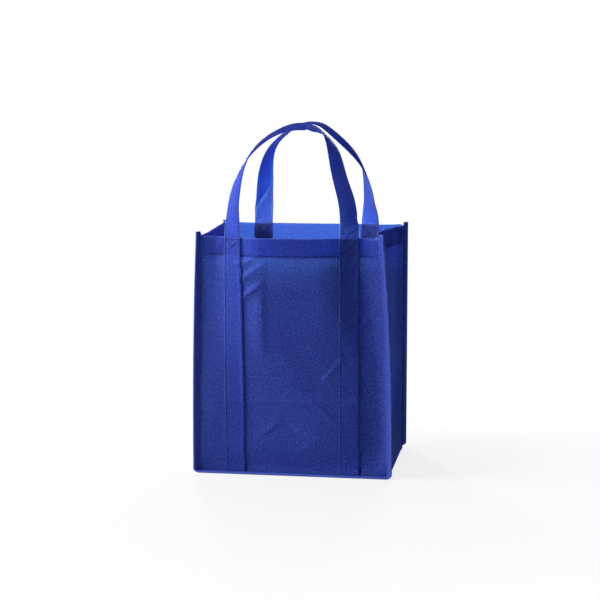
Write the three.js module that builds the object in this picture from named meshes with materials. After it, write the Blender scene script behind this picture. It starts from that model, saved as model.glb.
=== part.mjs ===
import * as THREE from 'three';
import { mergeVertices } from 'three/addons/utils/BufferGeometryUtils.js';

// Non-woven shopping bag, in millimetres. It stands on z = 0 and its front faces -Y.

// Driving sizes.
const SEAM_WIDTH = 306; // left seam line to right seam line, at the base
const SEAM_DEPTH = 236; // front seam line to back seam line
const RIM_HEIGHT = 381; // floor to the hemmed top edge
const CLOTH = 0.6; // one layer of cloth
const GAP = 0.3; // air between layers that lie against each other
const FLANGE = 9; // reach of a bound seam, outward from its seam line
const FLANGE_RISE = 6; // bound seam ends above the rim
const TURN_REACH = 12; // seam line to the flat of a sheet
const CORNER_RADIUS = 4; // seam line, at the lower corners of the two panels
const HEM = 31; // cloth folded inside along the rim
const STRAP_WIDTH = 32; // finished width of the handle strap
const STRAP_THICKNESS = 1.6; // folded strap
const HANDLE_RISE = 169; // rim to the middle of a loop's top
const FRONT_BOW = 40; // middle of the front rim, forward of its corners
const BACK_BOW = -6; // middle of the back rim, drawn in
const SIDE_INSET = 8.5; // right gusset, sunk behind its seams
const INSET_MARGIN = 24; // seam line to the sunk part
const INSET_FOOT = 90; // floor to the sunk part
const SIDE_TUCK = 8; // middle of the right gusset's rim, drawn in further
const TUCK_HALF = 80; // middle of the gusset to the edge of that tuck
const BOARD_THICKNESS = 2; // stiff sheet on the floor of the bag

// How each loop hangs. The top leans over to a share of the half depth and sways sideways, and the
// legs lead off sideways at the rim. The strap has turned outward by some degrees at the rim (left,
// right) and at the top.
const FRONT_LOOP = {
  top: -0.237,
  sway: 8,
  drift: -9,
  lead: -2.5,
  turn: [43, 45],
  topTurn: 112,
  hold: [1.9, 1.2],
  lean: 1.85,
};
const BACK_LOOP = {
  top: 0.102,
  sway: -1,
  drift: -1,
  lead: 0,
  turn: [33, 39],
  topTurn: 115,
  hold: [1.9, 2.7],
  lean: 1.7,
};
const STRAP_SHIFT = { front: 0, back: 5 }; // sideways, middle of the two runs
const LOOP_SQUARENESS = 0.87;

// Sizes that follow.
const LAYER = GAP / 2 + CLOTH;
const BOUND_HALF = LAYER + GAP + CLOTH;
const SEAM_HEIGHT = BOUND_HALF;
const ALLOWANCE = FLANGE - CLOTH - GAP;
const SETBACK = TURN_REACH / 3;
const SIDE_TURN = Math.PI / 4;
const GUSSET_TURN = SETBACK / (1 - Math.cos(SIDE_TURN)) * SIDE_TURN;
const FLOOR_SAG = SEAM_HEIGHT - LAYER;
const STRAP_SPACING = SEAM_WIDTH * 0.6;
const CLOTH_HEIGHT = RIM_HEIGHT - SEAM_HEIGHT;

// Mesh layout: steps from a raw edge to its seam and on to the flat of a sheet, then rows and columns.
const SEAM_STEPS = 2;
const EDGE_STEPS = 6;
const CORNER_STEPS = 2 * (EDGE_STEPS - SEAM_STEPS);
const BODY_ROWS = 8;
const HEM_ROWS = 2;
const MIDDLE_COLUMNS = 6;
const FLOOR_COLUMNS = 6;
const DEPTH_COLUMNS = 10;
const MARGIN_COLUMNS = 2;
const LOOP_STEPS = 46;

const lerp = THREE.MathUtils.lerp;
const clamp = THREE.MathUtils.clamp;
const smoothstep = THREE.MathUtils.smoothstep;

function heightFraction(z) {
  return clamp((z - SEAM_HEIGHT) / CLOTH_HEIGHT, 0, 1);
}

function strapMiddle(face, side) {
  return (face < 0 ? STRAP_SHIFT.front : STRAP_SHIFT.back) + side * STRAP_SPACING / 2;
}

// The front corners come in as the front rim bows out.
function seamX(side, face, z) {
  let pull = 0;
  if (face < 0) {
    pull = FRONT_BOW * (side < 0 ? 0.18 : 0.33);
  }
  return side * (SEAM_WIDTH / 2 - pull * heightFraction(z) ** 2.3);
}

// The front is flat between its straps and falls back on both sides of them.
function bow(face, x, z) {
  const left = seamX(-1, face, z);
  const right = seamX(1, face, z);
  const across = clamp((2 * x - left - right) / (right - left), -1, 1);
  const rise = heightFraction(z) ** 1.2;
  if (face > 0) {
    return BACK_BOW * rise * Math.cos(across * Math.PI / 2) ** 2;
  }
  const flanks = smoothstep(across, -0.9, -0.33) * smoothstep(-across, -0.93, -0.32);
  return FRONT_BOW * rise * flanks;
}

// Distance of a panel's middle plane from the bag's centre plane.
function panelReach(face, x, z) {
  return SEAM_DEPTH / 2 - SETBACK + bow(face, x, z);
}

// Rows shared by the panels, the gusset's sides and the sewn runs of the straps.
function bodyRows() {
  const rows = [];
  const low = SEAM_HEIGHT + TURN_REACH;
  const hemEdge = RIM_HEIGHT - HEM;
  for (let k = 0; k <= BODY_ROWS; k += 1) {
    rows.push(lerp(low, hemEdge - CLOTH / 2, k / BODY_ROWS));
  }
  for (let k = 0; k <= HEM_ROWS; k += 1) {
    rows.push(lerp(hemEdge + CLOTH / 2, RIM_HEIGHT, k / HEM_ROWS));
  }
  return rows;
}

const ROWS = bodyRows();
const FIRST_HEM_ROW = BODY_ROWS + 1;

// Columns of a panel between its corner lines: they follow both edges of the two strap runs.
function panelColumns(face, z) {
  const left = seamX(-1, face, z) + TURN_REACH;
  const right = seamX(1, face, z) - TURN_REACH;
  const half = STRAP_WIDTH / 2;
  const first = strapMiddle(face, -1);
  const second = strapMiddle(face, 1);
  const columns = [left, (left + first - half) / 2, first - half, first];
  for (let k = 0; k <= MIDDLE_COLUMNS; k += 1) {
    columns.push(lerp(first + half, second - half, k / MIDDLE_COLUMNS));
  }
  columns.push(second, second + half, (second + half + right) / 2, right);
  return columns;
}

const PANEL_COLUMNS = panelColumns(1, 0).length - 1;

// A bound seam stands out at a corner of the bag, and lies flat on the floor along the bottom.
// The angle goes from 0 on a side to a quarter turn on the bottom.
function seamLean(angle) {
  return SIDE_TURN * (1 - angle / (Math.PI / 2)) ** 2.05;
}

// A seam line at a lower corner, with a share from 0 on the side to 1 on the bottom: straight, then
// round the corner, then straight. Gives its place and its outward angle.
function seamCorner(side, share) {
  const half = share <= 0.5 ? 2 * share : 2 - 2 * share;
  const straight = TURN_REACH - CORNER_RADIUS;
  const bend = Math.max(0, half - 0.25) / 0.75 * Math.PI / 4;
  const left = straight * (1 - Math.min(1, half / 0.25));
  const middle = SEAM_WIDTH / 2 - CORNER_RADIUS;
  if (share <= 0.5) {
    const z = SEAM_HEIGHT + left + CORNER_RADIUS * (1 - Math.sin(bend));
    return { x: side * (middle + CORNER_RADIUS * Math.cos(bend)), z, angle: bend };
  }
  const z = SEAM_HEIGHT + CORNER_RADIUS * (1 - Math.cos(bend));
  const x = side * (middle - left + CORNER_RADIUS * Math.sin(bend));
  return { x, z, angle: Math.PI / 2 - bend };
}

// A sheet leaves the bound seam and turns into its own plane. Gives the distance gone in that
// plane, the distance out of it, and the tilt still left.
function turnOut(ring, turn, length) {
  const radius = length / Math.max(turn, 1e-9);
  if (ring === EDGE_STEPS) {
    return { along: TURN_REACH, out: -radius * (1 - Math.cos(turn)), tilt: 0 };
  }
  if (ring <= SEAM_STEPS) {
    const reach = ALLOWANCE * (1 - ring / SEAM_STEPS);
    return { along: -reach * Math.cos(turn), out: reach * Math.sin(turn), tilt: turn };
  }
  const walked = (ring - SEAM_STEPS) / (EDGE_STEPS - 1 - SEAM_STEPS);
  if (turn < 1e-9) {
    return { along: walked * length, out: 0, tilt: 0 };
  }
  const tilt = turn * (1 - walked);
  return {
    along: radius * (Math.sin(turn) - Math.sin(tilt)),
    out: -radius * (Math.cos(tilt) - Math.cos(turn)),
    tilt,
  };
}

// The rim climbs a little where it runs into a bound seam.
function rimEar(ring) {
  const climb = ring <= SEAM_STEPS ? 1 : ((EDGE_STEPS - ring) / (EDGE_STEPS - SEAM_STEPS)) ** 6;
  return climb * (FLANGE_RISE - CLOTH - GAP);
}

// A flat grid of cloth is carried, outer face and inner face, to where `place` puts it, and is
// closed round its edge. Cells are split so that layers lying together crease along one line:
// from low ring and far along the seam to high ring and near.
function formedSheet(columns, rows, flip, place) {
  const grid = new THREE.PlaneGeometry(columns, rows, columns, rows).getAttribute('position');
  const spots = [];
  const corners = [];
  for (let k = 0; k < grid.count; k += 1) {
    const spot = place(Math.round(grid.getX(k) + columns / 2), Math.round(grid.getY(k) + rows / 2));
    spots.push(spot);
    corners.push(...spot.outer.toArray(), ...spot.inner.toArray());
  }
  const at = (i, j) => (rows - j) * (columns + 1) + i;
  const faces = [];
  const face = (a, b, c) => faces.push(...(flip ? [a, c, b] : [a, b, c]));
  const both = (a, b, c) => {
    face(2 * a, 2 * b, 2 * c);
    face(2 * a + 1, 2 * c + 1, 2 * b + 1);
  };
  const rim = (a, b) => {
    face(2 * a, 2 * a + 1, 2 * b);
    face(2 * b, 2 * a + 1, 2 * b + 1);
  };
  for (let j = 0; j < rows; j += 1) {
    for (let i = 0; i < columns; i += 1) {
      const [a, b, c, d] = [at(i, j), at(i + 1, j), at(i + 1, j + 1), at(i, j + 1)];
      if ((spots[a].ring - spots[c].ring) * (spots[a].far - spots[c].far) < 0) {
        both(a, b, c);
        both(a, c, d);
      } else {
        both(a, b, d);
        both(b, c, d);
      }
    }
  }
  for (let i = 0; i < columns; i += 1) {
    rim(at(i, 0), at(i + 1, 0));
    rim(at(i + 1, rows), at(i, rows));
  }
  for (let j = 0; j < rows; j += 1) {
    rim(at(columns, j), at(columns, j + 1));
    rim(at(0, j + 1), at(0, j));
  }
  const loose = new THREE.BufferGeometry();
  loose.setAttribute('position', new THREE.Float32BufferAttribute(corners, 3));
  loose.setIndex(faces);
  const sheet = mergeVertices(loose, 1e-3);
  const joined = [];
  const index = sheet.index.array;
  for (let k = 0; k < index.length; k += 3) {
    const [a, b, c] = index.subarray(k, k + 3);
    if (a !== b && b !== c && c !== a) {
      joined.push(a, b, c);
    }
  }
  sheet.setIndex(joined);
  sheet.computeVertexNormals();
  return sheet;
}

function panelGeometry(face) {
  const columns = PANEL_COLUMNS + 2 * EDGE_STEPS;
  const rows = EDGE_STEPS + ROWS.length - 1;
  const place = (i, j) => {
    const side = 2 * i < columns ? -1 : 1;
    const ringX = Math.min(i, columns - i, EDGE_STEPS);
    const ringZ = Math.min(j, EDGE_STEPS);
    const ring = Math.min(ringX, ringZ);
    const z = ROWS[Math.max(0, j - EDGE_STEPS)];
    const seam = new THREE.Vector2();
    const inward = new THREE.Vector2();
    let angle = 0;
    if (ringZ === EDGE_STEPS) {
      seam.set(seamX(side, face, z), z);
    } else if (ringX === EDGE_STEPS) {
      angle = Math.PI / 2;
      seam.set(panelColumns(face, 0)[i - EDGE_STEPS], SEAM_HEIGHT);
    } else {
      const span = EDGE_STEPS - Math.max(ring, SEAM_STEPS);
      const share = Math.min(1, (EDGE_STEPS - Math.max(ringX, ringZ)) / span);
      const corner = seamCorner(side, ringX <= ringZ ? share / 2 : 1 - share / 2);
      angle = corner.angle;
      seam.set(corner.x, corner.z);
      inward.set(side * (SEAM_WIDTH / 2 - TURN_REACH), SEAM_HEIGHT + TURN_REACH);
      inward.sub(seam).divideScalar(TURN_REACH);
    }
    const turn = Math.PI / 2 - seamLean(angle);
    const path = turnOut(ring, turn, SETBACK / (1 - Math.cos(turn)) * turn);
    const away = new THREE.Vector2(side * Math.cos(angle), -Math.sin(angle));
    if (ring <= SEAM_STEPS || inward.length() === 0) {
      inward.copy(away).negate();
    }
    const flat = seam.clone().addScaledVector(inward, path.along);
    if (ring === EDGE_STEPS) {
      flat.set(panelColumns(face, z)[i - EDGE_STEPS], z);
    }
    if (j === rows) {
      flat.y += rimEar(ringX);
    }
    const inField = ring === EDGE_STEPS && i > EDGE_STEPS && i < columns - EDGE_STEPS;
    const hemmed = inField && j - EDGE_STEPS >= FIRST_HEM_ROW;
    const reach = SEAM_DEPTH / 2 + path.out + bow(face, flat.x, flat.y);
    const layer = (offset) => {
      const lift = offset * Math.sin(path.tilt);
      const y = face * (reach + offset * Math.cos(path.tilt));
      return new THREE.Vector3(flat.x - away.x * lift, y, flat.y - away.y * lift);
    };
    const far = j >= EDGE_STEPS || angle < Math.PI / 4 ? columns + j : Math.abs(i - columns / 2);
    return { outer: layer(LAYER), inner: layer(hemmed ? GAP / 2 - CLOTH : GAP / 2), ring, far };
  };
  return formedSheet(columns, rows, face > 0, place);
}

// The gusset strip and the bindings run down the left side, under the bag and up the right.
// Each station gives the seam's place, its outward angle and how far the floor sags there.
function seamRun() {
  const run = [];
  const half = SEAM_WIDTH / 2 - TURN_REACH;
  const corner = (side, share) => {
    const { x, z, angle } = seamCorner(side, share);
    run.push({ side, angle, sag: (angle / (Math.PI / 2)) ** 2, row: 0, x, z });
  };
  for (let k = ROWS.length - 1; k > 0; k -= 1) {
    run.push({ side: -1, angle: 0, sag: 0, row: k, z: ROWS[k] });
  }
  for (let k = 0; k <= CORNER_STEPS; k += 1) {
    corner(-1, k / CORNER_STEPS);
  }
  for (let k = 1; k < FLOOR_COLUMNS; k += 1) {
    const x = lerp(-half, half, k / FLOOR_COLUMNS);
    run.push({ side: -1, angle: Math.PI / 2, sag: 1, row: 0, x, z: SEAM_HEIGHT });
  }
  for (let k = CORNER_STEPS; k >= 0; k -= 1) {
    corner(1, k / CORNER_STEPS);
  }
  for (let k = 1; k < ROWS.length; k += 1) {
    run.push({ side: 1, angle: 0, sag: 0, row: k, z: ROWS[k] });
  }
  return run;
}

// The right gusset is pushed in: a sunk field with sloping margins, and a fold down its middle
// that deepens towards the rim.
function gussetSink(y, z) {
  const seamGap = Math.max(0, SEAM_DEPTH / 2 - Math.abs(y));
  const margin = smoothstep(seamGap, 0, INSET_MARGIN);
  const foot = smoothstep(z - SEAM_HEIGHT, 0, INSET_FOOT);
  const fold = Math.cos(Math.min(1, Math.abs(y) / TUCK_HALF) * Math.PI / 2) ** 2;
  return SIDE_INSET * margin * foot + SIDE_TUCK * heightFraction(z) ** 2 * fold;
}

// Columns of the gusset between its corner lines, closer together on the sloping margins.
function gussetColumn(k) {
  const half = SEAM_DEPTH / 2 - TURN_REACH;
  const sunk = SEAM_DEPTH / 2 - INSET_MARGIN;
  const inner = DEPTH_COLUMNS / 2 - MARGIN_COLUMNS;
  const across = k - DEPTH_COLUMNS / 2;
  const beyond = Math.max(0, Math.abs(across) - inner);
  const reach = sunk * Math.min(1, Math.abs(across) / inner) + (half - sunk) * beyond / MARGIN_COLUMNS;
  return Math.sign(across) * reach;
}

function gussetGeometry() {
  const run = seamRun();
  const rows = run.length - 1;
  const columns = DEPTH_COLUMNS + 2 * EDGE_STEPS;
  const place = (i, j) => {
    const { side, angle, row, ...station } = run[j];
    const face = 2 * i < columns ? -1 : 1;
    const ring = Math.min(i, columns - i, EDGE_STEPS);
    const path = turnOut(ring, seamLean(angle), GUSSET_TURN);
    let y = face * (SEAM_DEPTH / 2 - path.along);
    if (ring === EDGE_STEPS) {
      y = gussetColumn(i - EDGE_STEPS);
    }
    const depthShare = clamp(0.5 + y / SEAM_DEPTH, 0, 1);
    let x = station.x;
    if (row > 0) {
      x = lerp(seamX(side, -1, station.z), seamX(side, 1, station.z), depthShare);
    }
    const drawnIn = side > 0 ? gussetSink(y, station.z) : 0;
    const sunk = FLOOR_SAG * station.sag * clamp((ring - SEAM_STEPS) / 2, 0, 1);
    const ear = j === 0 || j === rows ? rimEar(ring) : 0;
    const inField = ring === EDGE_STEPS && i > EDGE_STEPS && i < columns - EDGE_STEPS;
    const hemmed = inField && row >= FIRST_HEM_ROW;
    const layer = (offset) => {
      const away = path.out - drawnIn * Math.cos(angle) + offset * Math.cos(path.tilt);
      return new THREE.Vector3(
        x + side * Math.cos(angle) * away,
        y - face * offset * Math.sin(path.tilt),
        station.z + ear - Math.sin(angle) * away - sunk,
      );
    };
    const far = Math.abs(j - rows / 2);
    return { outer: layer(LAYER), inner: layer(hemmed ? GAP / 2 - CLOTH : GAP / 2), ring, far };
  };
  return formedSheet(columns, rows, false, place);
}

// Binding: a tape folded over both raw edges. Each column of the tape has a place on its outer
// face and on its inner face, out along the seam and across it.
function bindingGeometry(face) {
  const start = CLOTH + GAP;
  const inside = LAYER + GAP;
  const leg = [
    { outer: [start, BOUND_HALF], inner: [start, inside] },
    { outer: [ALLOWANCE / 2, BOUND_HALF], inner: [ALLOWANCE / 2, inside] },
    { outer: [FLANGE - CLOTH, BOUND_HALF], inner: [FLANGE - CLOTH - GAP, inside] },
    { outer: [FLANGE, BOUND_HALF - CLOTH], inner: [FLANGE - CLOTH, inside - GAP] },
  ];
  const across = ([reach, lift]) => [reach, -lift];
  const folded = leg.map(({ outer, inner }) => ({ outer: across(outer), inner: across(inner) }));
  const tape = [...leg, ...folded.reverse()];
  const run = seamRun();
  run[0].z = RIM_HEIGHT + FLANGE_RISE;
  run[run.length - 1].z = RIM_HEIGHT + FLANGE_RISE;
  const columns = tape.length - 1;
  const rows = run.length - 1;
  const place = (i, j) => {
    const { side, angle, row, z, x } = run[j];
    const lean = seamLean(angle);
    const away = new THREE.Vector3(side * Math.cos(angle), 0, -Math.sin(angle));
    const out = away.clone().multiplyScalar(Math.sin(lean)).setY(face * Math.cos(lean));
    const lifting = away.clone().multiplyScalar(Math.cos(lean)).setY(-face * Math.sin(lean));
    const seam = new THREE.Vector3(row > 0 ? seamX(side, face, z) : x, face * SEAM_DEPTH / 2, z);
    const layer = ([reach, lift]) => seam.clone().addScaledVector(out, reach).addScaledVector(lifting, lift);
    const ring = Math.abs(i - columns / 2);
    const far = Math.abs(j - rows / 2);
    return { outer: layer(tape[i].outer), inner: layer(tape[i].inner), ring, far };
  };
  return formedSheet(columns, rows, face < 0, place);
}

// Sewn run of a strap on a panel: its middle and the way it faces at one height.
function strapOnPanel(face, side, z) {
  const x = strapMiddle(face, side);
  const high = panelReach(face, x + STRAP_WIDTH / 2, z);
  const low = panelReach(face, x - STRAP_WIDTH / 2, z);
  const slope = (high - low) / STRAP_WIDTH;
  const hump = Math.max(0, panelReach(face, x, z) - (high + low) / 2);
  const lift = (LAYER + 1.5 * GAP + STRAP_THICKNESS / 2) * Math.hypot(1, slope) + hump;
  const point = new THREE.Vector3(x, face * ((high + low) / 2 + lift), z);
  return { point, turn: -side * Math.atan(slope) };
}

// Middle line of a loop; share goes from 0 at the left run to 1 at the right run.
function loopPoint(face, loop, share) {
  const angle = share * Math.PI;
  const rise = Math.sin(angle) ** LOOP_SQUARENESS;
  const run = -Math.sign(Math.cos(angle)) * Math.abs(Math.cos(angle)) ** LOOP_SQUARENESS;
  const left = strapOnPanel(face, -1, RIM_HEIGHT).point;
  const right = strapOnPanel(face, 1, RIM_HEIGHT).point;
  const foot = left.clone().lerp(right, (run + 1) / 2);
  const lead = loop.lead * smoothstep(HANDLE_RISE * rise, 0, HANDLE_RISE / 4);
  const sideways = lead + loop.sway * Math.sin(angle) ** 2 + loop.drift * Math.sin(2 * angle) ** 2;
  return new THREE.Vector3(
    foot.x + sideways,
    lerp(foot.y, loop.top * SEAM_DEPTH / 2, rise ** loop.lean),
    RIM_HEIGHT + HANDLE_RISE * rise,
  );
}

function loopTurn(loop, share, rimTurn, climb) {
  const end = share < 0.5 ? 0 : 1;
  const level = Math.abs(Math.cos(share * Math.PI)) ** loop.hold[end];
  const free = THREE.MathUtils.degToRad(lerp(loop.topTurn, loop.turn[end], level));
  return lerp(rimTurn, free, smoothstep(climb, 0, HANDLE_RISE / 4));
}

// Handle: one strap from the bottom seam up the panel, round the loop and down again, with its
// edges pressed thinner than its middle.
function handleGeometry(face, loop) {
  const line = [];
  const heights = [SEAM_HEIGHT + SETBACK, ...ROWS];
  for (const z of heights) {
    line.push(strapOnPanel(face, -1, z));
  }
  for (let k = 1; k < LOOP_STEPS; k += 1) {
    const share = k / LOOP_STEPS;
    const point = loopPoint(face, loop, share);
    const rimTurn = strapOnPanel(face, share < 0.5 ? -1 : 1, RIM_HEIGHT).turn;
    line.push({ point, turn: loopTurn(loop, share, rimTurn, point.z - RIM_HEIGHT) });
  }
  for (const z of heights.reverse()) {
    line.push(strapOnPanel(face, 1, z));
  }
  const half = STRAP_WIDTH / 2;
  const pressed = STRAP_WIDTH / 10;
  const cuts = [-half, pressed - half, 0, half - pressed, half];
  const outward = new THREE.Vector3(0, face, 0);
  const place = (i, j) => {
    const { point, turn } = line[j];
    const before = line[Math.max(0, j - 1)].point;
    const after = line[Math.min(line.length - 1, j + 1)].point;
    const forward = after.clone().sub(before).normalize();
    const facing = outward.clone().addScaledVector(forward, -outward.dot(forward)).normalize();
    const outside = new THREE.Vector3().crossVectors(facing, forward).multiplyScalar(-face);
    const normal = facing.multiplyScalar(Math.cos(turn)).addScaledVector(outside, Math.sin(turn));
    const across = new THREE.Vector3().crossVectors(forward, normal);
    const middle = point.clone().addScaledVector(across, cuts[i]);
    const lift = STRAP_THICKNESS / 2 * (i % 4 === 0 ? 0.6 : 1);
    return {
      outer: middle.clone().addScaledVector(normal, lift),
      inner: middle.clone().addScaledVector(normal, -lift),
      ring: i,
      far: -face * j,
    };
  };
  return formedSheet(cuts.length - 1, line.length - 1, false, place);
}

function boardGeometry() {
  const halfX = SEAM_WIDTH / 2 - TURN_REACH;
  const halfY = SEAM_DEPTH / 2 - GUSSET_TURN * 2 / 3 - 1;
  const corner = TURN_REACH / 2;
  const outline = new THREE.Shape();
  outline.moveTo(-halfX + corner, -halfY);
  outline.lineTo(halfX - corner, -halfY);
  outline.absarc(halfX - corner, -halfY + corner, corner, -Math.PI / 2, 0);
  outline.lineTo(halfX, halfY - corner);
  outline.absarc(halfX - corner, halfY - corner, corner, 0, Math.PI / 2);
  outline.lineTo(-halfX + corner, halfY);
  outline.absarc(-halfX + corner, halfY - corner, corner, Math.PI / 2, Math.PI);
  outline.lineTo(-halfX, -halfY + corner);
  outline.absarc(-halfX + corner, -halfY + corner, corner, Math.PI, Math.PI * 1.5);
  const pressing = { depth: BOARD_THICKNESS, bevelEnabled: false, curveSegments: 4 };
  const board = new THREE.ExtrudeGeometry(outline, pressing);
  board.translate(0, 0, CLOTH + GAP);
  return board;
}

const bag = new THREE.Group();
bag.name = 'shopping_bag';

function addPiece(name, geometry, colour, roughness) {
  const material = new THREE.MeshStandardMaterial({ color: colour, roughness, metalness: 0 });
  const mesh = new THREE.Mesh(geometry, material);
  mesh.name = name;
  bag.add(mesh);
}

addPiece('front_panel', panelGeometry(-1), 0x2f45ac, 0.75);
addPiece('back_panel', panelGeometry(1), 0x2f45ac, 0.75);
addPiece('gusset', gussetGeometry(), 0x2b3f9f, 0.75);
addPiece('front_binding', bindingGeometry(-1), 0x27398f, 0.7);
addPiece('back_binding', bindingGeometry(1), 0x27398f, 0.7);
addPiece('front_handle', handleGeometry(-1, FRONT_LOOP), 0x3049b4, 0.7);
addPiece('back_handle', handleGeometry(1, BACK_LOOP), 0x3049b4, 0.7);
addPiece('base_board', boardGeometry(), 0x1b1d24, 0.6);

export default bag;
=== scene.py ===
# %% [markdown]
# # A non-woven shopping bag
# This lesson makes an upright grocery bag of embossed non-woven cloth. The real bag has four kinds of
# piece sewn together: two panels, one long gusset strip that goes down a side, under the bag and up the
# other side, binding tape over the seams, and two strap handles. A loose board lies inside. We could
# sculpt one lump of the right outline, but then no seam, hem or strap would be a piece of its own. So we
# load the plain solids of the bag first. They give the true sizes and places, and each of them is then
# replaced by a piece that bows and creases as the real one does.

# %% Load the plain bag
import math

import bmesh
import bpy
import numpy as np
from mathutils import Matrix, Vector


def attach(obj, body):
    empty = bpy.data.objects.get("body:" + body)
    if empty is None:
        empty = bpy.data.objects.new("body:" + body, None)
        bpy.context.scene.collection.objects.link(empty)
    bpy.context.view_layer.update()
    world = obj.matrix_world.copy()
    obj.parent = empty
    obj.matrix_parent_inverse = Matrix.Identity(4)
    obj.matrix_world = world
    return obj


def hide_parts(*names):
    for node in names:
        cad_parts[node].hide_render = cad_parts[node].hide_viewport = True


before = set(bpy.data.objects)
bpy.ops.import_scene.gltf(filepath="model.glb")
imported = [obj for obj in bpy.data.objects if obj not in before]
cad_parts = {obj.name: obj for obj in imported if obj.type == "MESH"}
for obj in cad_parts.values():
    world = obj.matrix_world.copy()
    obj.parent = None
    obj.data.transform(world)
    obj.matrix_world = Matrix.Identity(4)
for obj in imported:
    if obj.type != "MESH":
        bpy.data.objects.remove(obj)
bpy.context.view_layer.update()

# %% [markdown]
# The camera comes next, so that every later step is seen from the same place. It stands about two and a
# half metres in front of the bag, a little to its right and above its rim, and looks slightly down. A
# short lens from nearby would also fit the bag in, but a long lens from far away keeps the upright edges
# nearly parallel, as the eye expects of a bag.

# %% Camera
CAMERA_PLACE = (0.4012, -2.5597, 0.5973)
LOOK_DOWN = 7.29
LOOK_LEFT = 9.04
scene = bpy.context.scene
scene.view_settings.view_transform = "Standard"
lens = bpy.data.cameras.new("camera")
lens.sensor_fit = "HORIZONTAL"
lens.sensor_width = 36.0
lens.lens = 95.4
camera = bpy.data.objects.new("camera", lens)
camera.location = CAMERA_PLACE
camera.rotation_euler = (math.radians(90 - LOOK_DOWN), 0, math.radians(LOOK_LEFT))
scene.collection.objects.link(camera)
scene.camera = camera
print("camera at", [round(v, 3) for v in camera.location])

# %% [markdown]
# The sizes below are in millimetres, as a sewing pattern gives them, and in the frame of the plain bag. A
# seam is bound by a tape, so it stands out from the bag as a narrow flange. The rim is a hem: the cloth
# goes up, folds over and comes down again inside. Only the first values are chosen. The others follow
# from them, so a change of one size carries through the whole bag.

# %% Pattern sizes
MM = 0.001
FRONT, BACK = -1, 1
LEFT, RIGHT = -1, 1
SEAM_WIDTH = 306.0  # left seam line to right seam line, at the base
SEAM_DEPTH = 236.0  # front seam line to back seam line
RIM_HEIGHT = 381.0  # floor to the hemmed top edge
CLOTH = 0.6  # one layer of cloth
GAP = 0.3  # air between layers
FLANGE = 9.0  # reach of a bound seam
FLANGE_RISE = 6.0  # bound seam ends above the rim
TURN_REACH = 7.0  # seam line to the flat of a sheet
CORNER_RADIUS = 4.0  # seam line at the lower corners
HEM = 31.0  # cloth folded inside along the rim
HEM_STITCH = 3.0  # lower edge of the hem to its stitches
STRAP_WIDTH = 32.0
STRAP_THICKNESS = 1.6
HANDLE_RISE = 169.0  # rim to the middle of a loop's top
FRONT_BOW = 40.0  # front rim, forward of its corners
BACK_BOW = -6.0  # back rim, drawn in
SETBACK = 1.5  # sheet behind its seam line, just past the turn
FIELD_SETBACK = 4.0  # the same, well inside the sheet
SIDE_TURN = math.pi / 4
STRAP_SHIFT = {FRONT: 0.0, BACK: 5.0}
LAYER = GAP / 2 + CLOTH
BOUND_HALF = LAYER + GAP + CLOTH
SEAM_HEIGHT = BOUND_HALF
ALLOWANCE = FLANGE - CLOTH - GAP
GUSSET_TURN = SETBACK / (1 - math.cos(SIDE_TURN)) * SIDE_TURN
STRAP_SPACING = 0.6 * SEAM_WIDTH
print("cut of a panel", SEAM_WIDTH + 2 * ALLOWANCE, "x", RIM_HEIGHT + ALLOWANCE + HEM, "mm")

# %% [markdown]
# A cloth bag never stands as a box. The front panel bows forward at the rim and draws its top corners in.
# Its crest lies beside the left strap and slopes down to the right, where the seam itself leans forward.
# The back stays almost straight. A cloth simulation could find some lie of this kind, but not this one,
# so the lie is written as formulas that say where the seams run and how far each panel bows, at any
# height. Everything that is sewn to a panel asks the same formulas, so it follows the cloth.

# %% How the bag stands
LEFT_PULL = 0.18  # share of the bow by which a front top corner is drawn in
RIGHT_PULL = 0.33
SEAM_LEAN = 20.0  # front right seam, forward at the rim
CREST = -0.33  # place of the crest, from -1 at the left seam to 1 at the right one
CREST_CORNER = 8  # sharpness of the crest
CREST_FALL = 0.15  # share of the bow that is lost towards the right
PULL_GROWTH = 2.3  # powers by which the pull, the lean and the bow grow with height
LEAN_GROWTH = 1.6
BOW_GROWTH = 1.2
TURN_FADE = 2.05  # how soon the flange's turn fades round a lower corner


def smoothstep(value, low, high):
    share = np.clip((value - low) / (high - low), 0.0, 1.0)
    return share * share * (3 - 2 * share)


def height_share(z):
    return np.clip((z - SEAM_HEIGHT) / (RIM_HEIGHT - SEAM_HEIGHT), 0.0, 1.0)


def seam_x(side, face, z):
    pull = 0.0
    if face == FRONT:
        pull = FRONT_BOW * np.where(np.asarray(side) < 0, LEFT_PULL, RIGHT_PULL)
    return side * (SEAM_WIDTH / 2 - pull * height_share(z) ** PULL_GROWTH)


def seam_forward(side, face, z):
    leans = (np.asarray(side) > 0) & (face == FRONT)
    return np.where(leans, SEAM_LEAN * height_share(z) ** LEAN_GROWTH, 0.0)


def left_flank(across, z):
    # The climb from the left seam to the crest. Higher up it starts further from the seam.
    high = smoothstep(z, 120, 260)
    hem = smoothstep(z, RIM_HEIGHT - HEM - 15, RIM_HEIGHT - HEM + 2)
    start = -1 + 0.08 * high + 0.09 * hem
    ramp = np.clip((across - start) / (CREST - start), 0, 3)
    rounded = -np.log(np.exp(-CREST_CORNER * ramp) + math.exp(-CREST_CORNER)) / CREST_CORNER
    ramp = np.clip(rounded, 0, 1)
    return 0.65 * ramp + 0.35 * smoothstep(ramp, 0, 1)


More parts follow.
